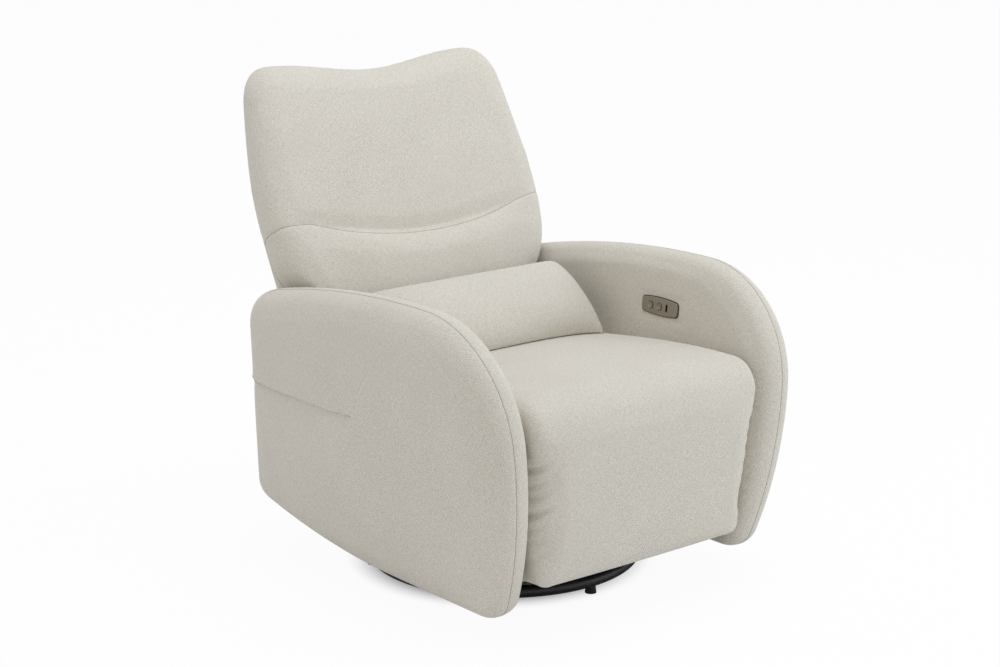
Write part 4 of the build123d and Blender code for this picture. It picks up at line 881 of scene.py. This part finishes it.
def back_local(places):
    return (places - BACK_FOOT) @ BACK_AXES.T


def back_world(local):
    return local @ BACK_AXES + BACK_FOOT


def back_depth(t):
    """How far the front stands off the rear face at a height."""
    return np.interp(t, *BACK_DEPTHS)


def back_outline():
    """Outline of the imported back's rear face, with softer horns and a hem that hangs lower."""
    local = back_local(points(NODES["back_cover"].data))
    rim = local[(np.abs(local[:, 2]) < RIM_SAME) & (local[:, 1] > -1 * MM)][:, :2]
    rim = rim[np.argsort(np.arctan2(rim[:, 1] - BACK_MIDDLE_T, rim[:, 0]))]
    loop = rim[np.r_[True, np.linalg.norm(np.diff(rim, axis=0), axis=1) > RIM_SAME]]
    loop[:, 1] -= HEM_DROP * ramp(loop[:, 1], *HEM_T) * (np.abs(loop[:, 0]) < HEM_HALF)
    drop = HORN_DROP + DIP_DROP * np.exp(-((loop[:, 0] / DIP_REACH) ** 2))
    loop[:, 1] -= drop * ramp(loop[:, 1], *HORN_T)
    return even_loop(loop, BACK_POINTS)


BACK_LOOP = back_outline()
into = inward(BACK_LOOP)
middle = np.array([0, BACK_MIDDLE_T])


def back_ring(inset, deep):
    """One ring of the back: the outline moved inwards, at a depth for each point, with a waist in front."""
    loop = BACK_LOOP + into * np.reshape(inset, (-1, 1))
    limit = np.interp(loop[:, 1], *WAIST)
    loop[:, 0] = np.where(deep > WAIST_N, np.clip(loop[:, 0], -limit, limit), loop[:, 0])
    return back_world(np.hstack([loop, np.reshape(deep, (-1, 1))]))


front_n = back_depth(BACK_LOOP[:, 1]) - BACK_SWELL
bulge = np.interp(BACK_LOOP[:, 1], *BACK_BULGES)
wall_n = front_n - BACK_EDGE_DEEP
rings = []
for angle in np.linspace(0, math.pi / 2, 8):
    inset = BACK_REAR_ROUND * (1 - math.sin(angle)) - BACK_FULLNESS
    rings.append(back_ring(inset, np.full(len(BACK_LOOP), BACK_REAR_ROUND * (1 - math.cos(angle)))))
for share in np.linspace(0.1, 1, 10):
    swing = bulge * math.sin(share * math.pi / 2)
    rings.append(back_ring(-BACK_FULLNESS - swing, BACK_REAR_ROUND + (wall_n - BACK_REAR_ROUND) * share))
for angle in np.linspace(0.1, math.pi / 2, 14):
    inset = BACK_EDGE * (1 - math.cos(angle)) - bulge - BACK_FULLNESS
    deep = back_depth(BACK_LOOP[:, 1] + into[:, 1] * inset) - BACK_SWELL
    rings.append(back_ring(inset, deep - BACK_EDGE_DEEP * (1 - math.sin(angle))))
last = back_local(rings[-1])[:, :2]
for share in np.linspace(0.9, 0.05, 12):
    loop = middle + (last - middle) * share
    deep = back_depth(loop[:, 1]) - BACK_SWELL
    rings.append(back_world(np.hstack([loop, deep[:, None]])))
back = foam(from_rings("back_cushion_cover", np.array(rings)))
print("back:", len(back.data.vertices), "points")

# %% [markdown]
# ## Lumbar band and its seam
# The seam dips at the middle of the back, rises to both front edges and falls again along the sides to
# the side seams. Below it the band is fuller, most of all in the middle. The seam itself is held while the
# cover swells, as sewing holds it.

# %% Lumbar band, swelling and seams of the back
SEAM_T = 0.219
SEAM_MIDDLE = 20 * MM
SEAM_RISE = 45 * MM
SEAM_REACH = 0.285
SEAM_FALL = 34 * MM
SEAM_FALL_FROM, SEAM_FALL_RUN = 10 * MM, 100 * MM
SEAM_SINK, SEAM_SINK_REACH = 3 * MM, 8 * MM
LUMBAR_FULLNESS, LUMBAR_REACH = 21 * MM, 14 * MM
LUMBAR_MIDDLE = (0.12, 0.28)
LUMBAR_SIDE_LOSS = 0.75
MAX_SEAM_REACH = 1.05
FRONT_N = 50 * MM
HELD_N = 40 * MM
BACK_GROOVE = (1.6 * MM, 4 * MM)
SEAM_STEP = 2 * MM
SEAM_HALF = 0.30
SEAM_LIFT = 4 * MM
SEAM_POINTS, SEAM_TRIM = 160, 6
SIDE_RUN_X = 0.345
SIDE_RUN_N = (0.125, 0.036)
SIDE_RUN_T = 0.25
SIDE_POINTS = 30
SIDE_SEAM_FOOT = 30 * MM
SIDE_SEAM = (
    (0.0, 0.17, 0.20, 0.235, 0.29, 0.36, 0.65),
    (0.062, 0.055, 0.045, 0.037, 0.027, 0.020, 0.020),
)


def seam_height(x, n, t):
    """Height of the lumbar seam across the back and at a depth, and how far behind the front that is."""
    behind = np.clip((back_depth(t) - SEAM_FALL_FROM - n) / SEAM_FALL_RUN, 0, 1)
    reach = np.minimum(np.abs(x - SEAM_MIDDLE) / SEAM_REACH, MAX_SEAM_REACH)
    return SEAM_T + SEAM_RISE * reach**2 - SEAM_FALL * behind, behind


local = back_local(points(back.data))
seam_t, behind = seam_height(local[:, 0], local[:, 2], local[:, 1])
below = seam_t - local[:, 1]
on_front = (1 - behind) * (1 - LUMBAR_SIDE_LOSS * ramp(np.abs(local[:, 0]), *LUMBAR_MIDDLE))
full = LUMBAR_FULLNESS * (1 - np.exp(-np.maximum(below, 0) / LUMBAR_REACH)) * on_front
sink = SEAM_SINK * np.exp(-np.abs(below) / SEAM_SINK_REACH) * on_front
local[:, 2] += (full - sink) * (local[:, 2] > FRONT_N)
move_points(back, back_world(local))
swell(back, BACK_SWELL, (np.abs(below) < HELD_WIDTH) & (local[:, 2] > HELD_N))
refine(back)

reach = np.linspace(-SEAM_HALF, SEAM_HALF, SEAM_POINTS)
heights = seam_height(reach, back_depth(SEAM_T), SEAM_T)[0]
front_run = np.stack([reach, heights, back_depth(heights) + SEAM_LIFT], 1)[SEAM_TRIM:-SEAM_TRIM]
deep = np.linspace(*SIDE_RUN_N, SIDE_POINTS)
ends = []
for side in (-1, 1):
    tall = seam_height(side * SEAM_HALF, deep, SIDE_RUN_T)[0]
    ends.append(np.stack([np.full(SIDE_POINTS, side * SIDE_RUN_X), tall, deep], 1))
lumbar_path = even_path(back_world(np.vstack([ends[0][::-1], front_run, ends[1]])), SEAM_STEP)
lumbar_path = lay(back, lumbar_path)[0]
groove(back, lumbar_path, *BACK_GROOVE)

side_loop = BACK_LOOP[BACK_LOOP[:, 1] > SIDE_SEAM_FOOT]
start = np.argmin(np.where(side_loop[:, 0] > 0, side_loop[:, 1], np.inf))
side_loop = np.roll(side_loop, -start, 0)
side_n = np.interp(side_loop[:, 1], *SIDE_SEAM)
side_path = lay(back, even_path(back_world(np.column_stack([side_loop, side_n])), SEAM_STEP))[0]
groove(back, side_path, *BACK_GROOVE)
dress(back, "back_upper_pad", "back_lumbar_pad", "back_cover", body="backrest", fill=0.9)
sew("lumbar_seam", back, lumbar_path, "backrest")
sew("back_side_seam", back, side_path, "backrest")

# %% [markdown]
# ## Skirt behind the seat
# Below the back, a curved skirt follows an arc about the recline bolts, so that it slides past the seat box
# with an even gap. It's a thin padded panel, so a rounded strip swept along that arc is enough.

# %% Back skirt
RECLINE = np.array([0.24, 0.42])
SKIRT_RADIUS = 0.1046
SKIRT_THICK = 12 * MM
SKIRT_HALF = 0.242
SKIRT_FROM, SKIRT_TO = 12.0, -41.0
SKIRT_ROUND = 5 * MM
SKIRT_VOXEL = 3.5 * MM

rings = []
for angle in np.linspace(-math.pi / 2, math.pi / 2, 9):
    shrink = SKIRT_ROUND * (1 - math.cos(angle))
    side = np.sign(angle) * (SKIRT_HALF - SKIRT_ROUND) + SKIRT_ROUND * math.sin(angle)
    outer = arc(RECLINE, SKIRT_RADIUS - shrink, SKIRT_TO, SKIRT_FROM, 30)
    inner = arc(RECLINE, SKIRT_RADIUS - SKIRT_THICK + shrink, SKIRT_FROM, SKIRT_TO, 30)
    loop = np.vstack([outer, inner])
    rings.append(np.hstack([np.full((len(loop), 1), side), loop]))
skirt = foam(from_rings("back_skirt_cover", np.array(rings)), voxel=SKIRT_VOXEL, rounds=4)
dress(skirt, body="backrest", fill=0.6)

# %% [markdown]
# ## Loose pillow
# A knife-edge pillow is two panels sewn all round and stuffed: thick in the middle, pinched at the corners.
# It stands on the seat and leans on the back, so it's pressed flat wherever it would reach into them.

# %% Pillow
PILLOW_HALF = 0.252
PILLOW_TALL = 0.108
PILLOW_THICK = 0.054
PILLOW_SWELL = 5 * MM
PILLOW_DROOP, DROOP_POWER = 0.10, 8
PILLOW_END_POWER = 7
PILLOW_END_BOW = 7 * MM
PILLOW_END_THIN = 0.03
PILLOW_DIP, DIP_POWER = 0.05, 6
PILLOW_SQUARE = 0.8
PILLOW_RIM = 0.97
PILLOW_GROOVE = (1.2 * MM, 4 * MM)
PRESS_GAP = 0.8 * MM
PRESS_REACH = 90 * MM
PILLOW_MIDDLE = np.array([0.0, 0.036, 0.517])
PILLOW_TILT = math.radians(38)
PILLOW_AXES = np.array([
    (1, 0, 0),
    (0, math.cos(PILLOW_TILT), math.sin(PILLOW_TILT)),
    (0, -math.sin(PILLOW_TILT), math.cos(PILLOW_TILT)),
])


def press(piece, onto):
    """Push points of a piece out of another piece, so that it rests flat on it."""
    tree = surface(onto)
    places = points(piece.data)
    pushed = 0
    for i, spot in enumerate(places):
        at, up = tree.find_nearest(spot, PRESS_REACH)[:2]
        if at is not None and (Vector(spot) - at).dot(up) < PRESS_GAP:
            places[i] = at + up * PRESS_GAP
            pushed += 1
    move_points(piece, places)
    return pushed


def droop(u, v):
    """Heights on the pillow, with its two lower corners drawn out."""
    return np.where(v < 0, v * (1 + PILLOW_DROOP * np.abs(u) ** DROOP_POWER), v)


rings = []
turn = np.linspace(0, 2 * math.pi, 120, endpoint=False)
for u in np.sin(np.linspace(-math.pi / 2, math.pi / 2, 49)):
    plump = max(PILLOW_END_THIN, (1 - abs(u) ** PILLOW_END_POWER) ** 0.5)
    tall = PILLOW_TALL * (1 - PILLOW_DIP * (1 - abs(u) ** DIP_POWER))
    v = droop(u, np.sign(np.cos(turn)) * np.abs(np.cos(turn)) ** PILLOW_SQUARE * tall)
    w = np.sin(turn) * PILLOW_THICK * plump
    x = u * (PILLOW_HALF + PILLOW_END_BOW * (1 - (v / PILLOW_TALL) ** 2))
    rings.append(np.stack([x, v, w], 1) @ PILLOW_AXES + PILLOW_MIDDLE)
pillow = foam(from_rings("lumbar_pillow_cover", np.array(rings)), rounds=3)
flat = (points(pillow.data) - PILLOW_MIDDLE) @ PILLOW_AXES.T
rim = np.maximum(np.abs(flat[:, 0]) / PILLOW_HALF, np.abs(flat[:, 1]) / PILLOW_TALL) > PILLOW_RIM
swell(pillow, PILLOW_SWELL, rim)
refine(pillow)
pushed = press(pillow, chaise), press(pillow, back)
modify(pillow, "SMOOTH", factor=SMOOTHING, iterations=4)
print("pillow rests with", pushed, "points on seat and back")

edge_v = np.linspace(-1, 1, 40)
edge_u = np.linspace(-PILLOW_RIM, PILLOW_RIM, 90)
rim_uv = np.vstack([
    np.column_stack([edge_u, np.ones_like(edge_u)]),
    np.column_stack([np.ones_like(edge_v), -edge_v]),
    np.column_stack([-edge_u, -np.ones_like(edge_u)]),
    np.column_stack([-np.ones_like(edge_v), edge_v]),
])
rim_v = PILLOW_TALL * droop(rim_uv[:, 0], rim_uv[:, 1])
rim_path = np.column_stack([rim_uv[:, 0] * PILLOW_HALF, rim_v, np.zeros(len(rim_uv))])
rim_path = lay(pillow, even_path(rim_path @ PILLOW_AXES + PILLOW_MIDDLE, SEAM_STEP, True))[0]
groove(pillow, rim_path, *PILLOW_GROOVE)
dress(pillow, "lumbar_pillow", body="pillow", fill=0.7)
sew("pillow_seam", pillow, rim_path, "pillow", closed=True, stitched=False)

# %% [markdown]
# ## Rear panel
# A padded board closes the chair behind the seat, between the arms. Its corners are read from the packed
# panel, and its face swells a little, except where the power inlet sits.

# %% Rear panel
PANEL_LOW, PANEL_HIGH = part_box("rear_panel")
PANEL_ROUND = 9 * MM
PANEL_CROWN = 5 * MM
PANEL_CROWN_REACH = 60 * MM
PANEL_FACE = 4 * MM
PANEL_CORNER = 8 * MM
PANEL_VOXEL = 4.5 * MM
PANEL_POINTS = 300
INLET_LOW, INLET_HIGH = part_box("power_inlet")
INLET_CLEAR = (16 * MM, 66 * MM)

panel = points(NODES["rear_panel"].data)
half_low = np.abs(panel[panel[:, 2] < PANEL_LOW.z + PANEL_CORNER, 0]).max()
half_high = np.abs(panel[panel[:, 2] > PANEL_HIGH.z - PANEL_CORNER, 0]).max()
corners = np.array([
    (-half_low, PANEL_LOW.z), (half_low, PANEL_LOW.z), (half_high, PANEL_HIGH.z), (-half_high, PANEL_HIGH.z)
])
loop = even_loop(corners, PANEL_POINTS)
into = inward(loop)
rings = [np.insert(loop, 1, PANEL_LOW.y, axis=1)]
for angle in np.linspace(0, math.pi / 2, 8):
    ring = loop + into * PANEL_ROUND * (1 - math.cos(angle))
    rings.append(np.insert(ring, 1, PANEL_HIGH.y - PANEL_ROUND * (1 - math.sin(angle)), axis=1))
rear_panel = foam(from_rings("rear_panel_cover", np.array(rings)), voxel=PANEL_VOXEL, rounds=3)
places = points(rear_panel.data)
inset = loop_distance(places[:, [0, 2]], loop)
inlet = (INLET_LOW + INLET_HIGH) / 2
from_inlet = np.hypot(places[:, 0] - inlet.x, places[:, 2] - inlet.z)
grown = PANEL_CROWN * ramp(inset, 0, PANEL_CROWN_REACH) * ramp(from_inlet, *INLET_CLEAR)
places[:, 1] += grown * (places[:, 1] > PANEL_HIGH.y - PANEL_FACE)
move_points(rear_panel, places)
refine(rear_panel)
dress(rear_panel, "rear_panel", fill=0.8)

# %% [markdown]
# ## Controls
# Each button is a low cap with a dished middle, so that a finger finds it. It starts as a cylinder: its top
# face is inset and pushed down, and the rim is bevelled. Thin dark bands follow the plate's edge and stand
# round each button: a gasket and two collars.

# %% Buttons, gasket and collars
BUTTON_RADIUS = 7 * MM
BUTTON_TALL = 6 * MM
BUTTON_RIM = 1.7 * MM
BUTTON_DISH = 0.9 * MM
BUTTON_BEVEL = 0.5 * MM
FACE_SLACK = 0.05 * MM
GASKET_WIDTHS = (1.6 * MM, 0.3 * MM)
GASKET_HEIGHTS = (ARM_HALF - 3 * MM, ARM_HALF + 1 * MM)
COLLAR_GAP = 0.3 * MM
COLLAR_WIDTH = 1.0 * MM
COLLAR_PROUD = 0.4 * MM
COLLAR_POINTS = 48
RIM_POINTS = 160
PLATE_OUT = -np.array(tilt)
PLATE_ACROSS = np.array((0, 1, 0))
PLATE_UP = np.array(rise)


def make_button(name, node, body):
    """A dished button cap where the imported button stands."""
    shape = points(NODES[node].data)
    out = shape @ PLATE_OUT
    face = shape[out > out.max() - FACE_SLACK].mean(0)
    bpy.ops.object.select_all(action="DESELECT")
    bpy.ops.mesh.primitive_cylinder_add(vertices=48, radius=BUTTON_RADIUS, depth=BUTTON_TALL)
    button = bpy.context.object
    button.name = name
    bpy.ops.object.mode_set(mode="EDIT")
    bpy.ops.mesh.select_mode(type="FACE")
    bpy.ops.mesh.select_all(action="DESELECT")
    bpy.ops.object.mode_set(mode="OBJECT")
    for polygon in button.data.polygons:
        polygon.select = polygon.normal.z > 0.9
    bpy.ops.object.mode_set(mode="EDIT")
    bpy.ops.mesh.inset(thickness=BUTTON_RIM)
    bpy.ops.transform.translate(value=(0, 0, -BUTTON_DISH))
    bpy.ops.object.mode_set(mode="OBJECT")
    modify(button, "BEVEL", width=BUTTON_BEVEL, segments=3, limit_method="ANGLE")
    axes = np.array([PLATE_ACROSS, PLATE_UP, PLATE_OUT])
    places = points(button.data) - [0, 0, BUTTON_TALL / 2]
    move_points(button, places @ axes + face)
    face_outwards(button)
    bpy.ops.object.shade_smooth_by_angle(angle=math.radians(40))
    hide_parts(node)
    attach(button, body)
    return button


BUTTONS = [
    make_button("open_button_cap", "open_button", "open_button_body"),
    make_button("close_button_cap", "close_button", "close_button_body"),
]


def make_band(name, loop, widths, heights):
    """A low dark band round a flat loop, on the arm's inner face."""
    into = inward(loop)
    (outer, inner), (low, high) = widths, heights
    rings = []
    for inset, proud in ((-outer, low), (-outer, high), (inner, high), (inner, low)):
        rings.append(arm_world(np.insert(loop + into * inset, 0, -proud, axis=1), 1))
    band = from_rings(name, np.array(rings), capped=False)
    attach(band, "chassis")
    return band


plate = arm_local(points(NODES["control_bezel"].data), 1)
rim = plate[plate[:, 0] > plate[:, 0].max() - 1 * MM][:, 1:]
rim_loop = even_loop(rim[convex_hull_2d([tuple(p) for p in rim])], RIM_POINTS)
plate_face = -plate[:, 0].min()
BANDS = [make_band("control_gasket", rim_loop, GASKET_WIDTHS, GASKET_HEIGHTS)]
for button in BUTTONS:
    centre = arm_local(points(button.data), 1)[:, 1:]
    centre = (centre.min(0) + centre.max(0)) / 2
    ring = arc(centre, BUTTON_RADIUS + COLLAR_GAP, 0, 360 - 360 / COLLAR_POINTS, COLLAR_POINTS)
    heights = (plate_face - COLLAR_PROUD, plate_face + COLLAR_PROUD)
    BANDS.append(make_band(button.name.replace("cap", "collar"), ring, (COLLAR_WIDTH, 0), heights))
print("controls:", [b.name for b in BUTTONS + BANDS])

# %% [markdown]
# ## Rigid finishes
# Each finish varies a little over its surface, as real ones do: powder coat has a fine orange peel, zinc is
# mottled, and wood has long grain. The patterns read object coordinates, so they don't move with a pose.

# %% Finishes of steel, zinc, wood and plastic
PEEL_FINER = 3
PEEL_STRENGTH = 0.35
GRAIN = (9, 1, 9)


def speckled(name, light, dark, scale, rough, spread=0.1, metallic=0.0, peel=0.0, stretch=None):
    """A finish between two colours by noise, with roughness that varies along with it."""
    finish = Finish(name, metallic=metallic)
    place = finish.node("ShaderNodeTexCoord", output=3)
    if stretch:
        place = finish.node("ShaderNodeMapping", None, {"Vector": place, "Scale": stretch})
    pattern = finish.noise(place, scale, 4.0)
    finish.feed("Base Color", finish.mix(pattern, dark, light))
    finish.feed("Roughness", pattern * spread + (rough - spread / 2))
    if peel:
        finish.bump(finish.noise(place, scale * PEEL_FINER), PEEL_STRENGTH, peel)
    return finish.material


FINISHES = {
    speckled("black_powder_coat", srgb(26, 26, 27), srgb(15, 15, 16), 260.0, 0.48, peel=0.3 * MM): (
        "base_ring", "base_spokes", "base_hub", "swivel_plate", "glide_stands", "glide_cross_bars",
        "front_glide_links", "rear_glide_links", "glide_hangers", "cross_tubes", "mech_plates", "back_brackets",
        "legrest_brackets", "legrest_lever", "legrest_torque_tube", "recline_links", "actuator_mount",
    ),
    speckled("bright_zinc", srgb(190, 192, 194), srgb(158, 160, 164), 90.0, 0.34, metallic=1.0): (
        "king_pin", "bearing_race", "upper_glide_pins", "lower_glide_pins", "mech_bolts", "mech_spacers",
        "legrest_pivots", "recline_pivots", "arm_bolts", "bracket_bolts", "actuator_rod", "fork_pin",
    ),
    speckled(
        "pale_hardwood", srgb(205, 176, 134), srgb(170, 138, 96), 18.0, 0.6, peel=0.2 * MM, stretch=GRAIN
    ): (
        "side_rails", "cross_rails", "arm_frame_left", "arm_frame_right", "arm_cleats", "back_stiles",
        "back_rails", "legrest_board",
    ),
    speckled("natural_nylon", srgb(226, 223, 212), srgb(210, 206, 193), 120.0, 0.4): ("bearing_ring",),
    speckled("dark_plastic", srgb(38, 38, 40), srgb(26, 26, 28), 300.0, 0.55, peel=0.2 * MM): (
        "gear_motor", "actuator_tube", "control_housing", "power_inlet",
    ),
    speckled("webbing_weave", srgb(70, 68, 64), srgb(38, 37, 35), 600.0, 0.9, peel=0.6 * MM): (
        "seat_webbing", "back_webbing",
    ),
    speckled("black_rubber", srgb(32, 32, 32), srgb(22, 22, 22), 200.0, 0.8): ("floor_feet",),
    speckled("gloss_black", srgb(14, 14, 15), srgb(8, 8, 9), 200.0, 0.35): ("charging_socket",),
    speckled(
        "bronze_satin", srgb(150, 142, 126), srgb(133, 124, 108), 340.0, 0.38, metallic=0.3, peel=0.1 * MM
    ): (
        "control_bezel",
    ),
}
for finish, names in FINISHES.items():
    for name in names:
        NODES[name].data.materials.clear()
        NODES[name].data.materials.append(finish)
    if finish.name == "bronze_satin":
        for button in BUTTONS:
            button.data.materials.append(finish)
    if finish.name == "black_rubber":
        for band in BANDS:
            band.data.materials.append(finish)
print("rigid finishes:", len(FINISHES))

# %% [markdown]
# ## Floor, backdrop and light
# Two large soft lamps stand left and right of the camera and one hangs above, as in a product studio.
# The right and top lamps are a little cool, so that cloth in the shade looks warmer than cloth in the light.
# The floor and the sky are white to the camera, and the floor keeps the chair's shadow.

# %% Stage
FLOOR_SIZE = 30.0
FLOOR_WHITE = 0.95
SHADOW_FROM, SHADOW_TO = 0.22, 0.33
SKY_LIGHT = 0.64
WHITE = (1, 1, 1, 1)

bpy.ops.object.select_all(action="DESELECT")
bpy.ops.mesh.primitive_plane_add(size=FLOOR_SIZE)
floor = bpy.context.object
floor.name = "floor"
ground = Finish("pale_floor", roughness=0.9, base_color=(0.9, 0.9, 0.9, 1))
seen = ground.node("ShaderNodeLightPath", output=0)
glow = ground.node("ShaderNodeEmission", None, {"Color": WHITE, "Strength": 1.0})
plain = Wire(ground, ground.shader.outputs[0])
spot = ground.node("ShaderNodeTexCoord", output=3)
from_middle = ground.node("ShaderNodeVectorMath", {"operation": "LENGTH"}, {0: spot}, 1)
smooth = {"interpolation_type": "SMOOTHSTEP"}
clear = ground.node("ShaderNodeMapRange", smooth, {0: from_middle, 1: SHADOW_FROM, 2: SHADOW_TO})
blended = ground.node("ShaderNodeMixShader", None, {0: seen * clear * FLOOR_WHITE, 1: plain, 2: glow})
ground.tree.links.new(blended.socket, ground.tree.nodes["Material Output"].inputs["Surface"])
floor.data.materials.append(ground.material)

world = bpy.data.worlds.new("studio")
bpy.context.scene.world = world
world.use_nodes = True
sky = world.node_tree
path = sky.nodes.new("ShaderNodeLightPath")
either = sky.nodes.new("ShaderNodeMath")
either.operation = "MAXIMUM"
sky.links.new(path.outputs["Is Camera Ray"], either.inputs[0])
sky.links.new(path.outputs["Is Glossy Ray"], either.inputs[1])
strength = sky.nodes.new("ShaderNodeMath")
strength.operation = "MULTIPLY_ADD"
strength.inputs[1].default_value = 1 - SKY_LIGHT
strength.inputs[2].default_value = SKY_LIGHT
sky.links.new(either.outputs[0], strength.inputs[0])
sky.nodes["Background"].inputs["Color"].default_value = WHITE
sky.links.new(strength.outputs[0], sky.nodes["Background"].inputs["Strength"])

LAMPS = (
    ("right_lamp", (3.3, -2.9, 1.8), 2.6, 49, (0.84, 0.91, 1.0)),
    ("left_lamp", (-3.9, 0.8, 1.1), 2.8, 10, (1.0, 1.0, 1.0)),
    ("top_lamp", (0.2, -0.4, 3.6), 2.6, 42, (0.90, 0.94, 1.0)),
)
AIM = Vector((0, 0, 0.5))
for name, place, size, power, tint in LAMPS:
    bpy.ops.object.light_add(type="AREA", location=place)
    lamp = bpy.context.object
    lamp.name = name
    lamp.data.size = size
    lamp.data.energy = power
    lamp.data.color = tint
    lamp.rotation_euler = (AIM - Vector(place)).to_track_quat("-Z", "Y").to_euler()
bpy.context.scene.view_settings.view_transform = "Standard"
print("stage: floor, sky and", len(LAMPS), "lamps")
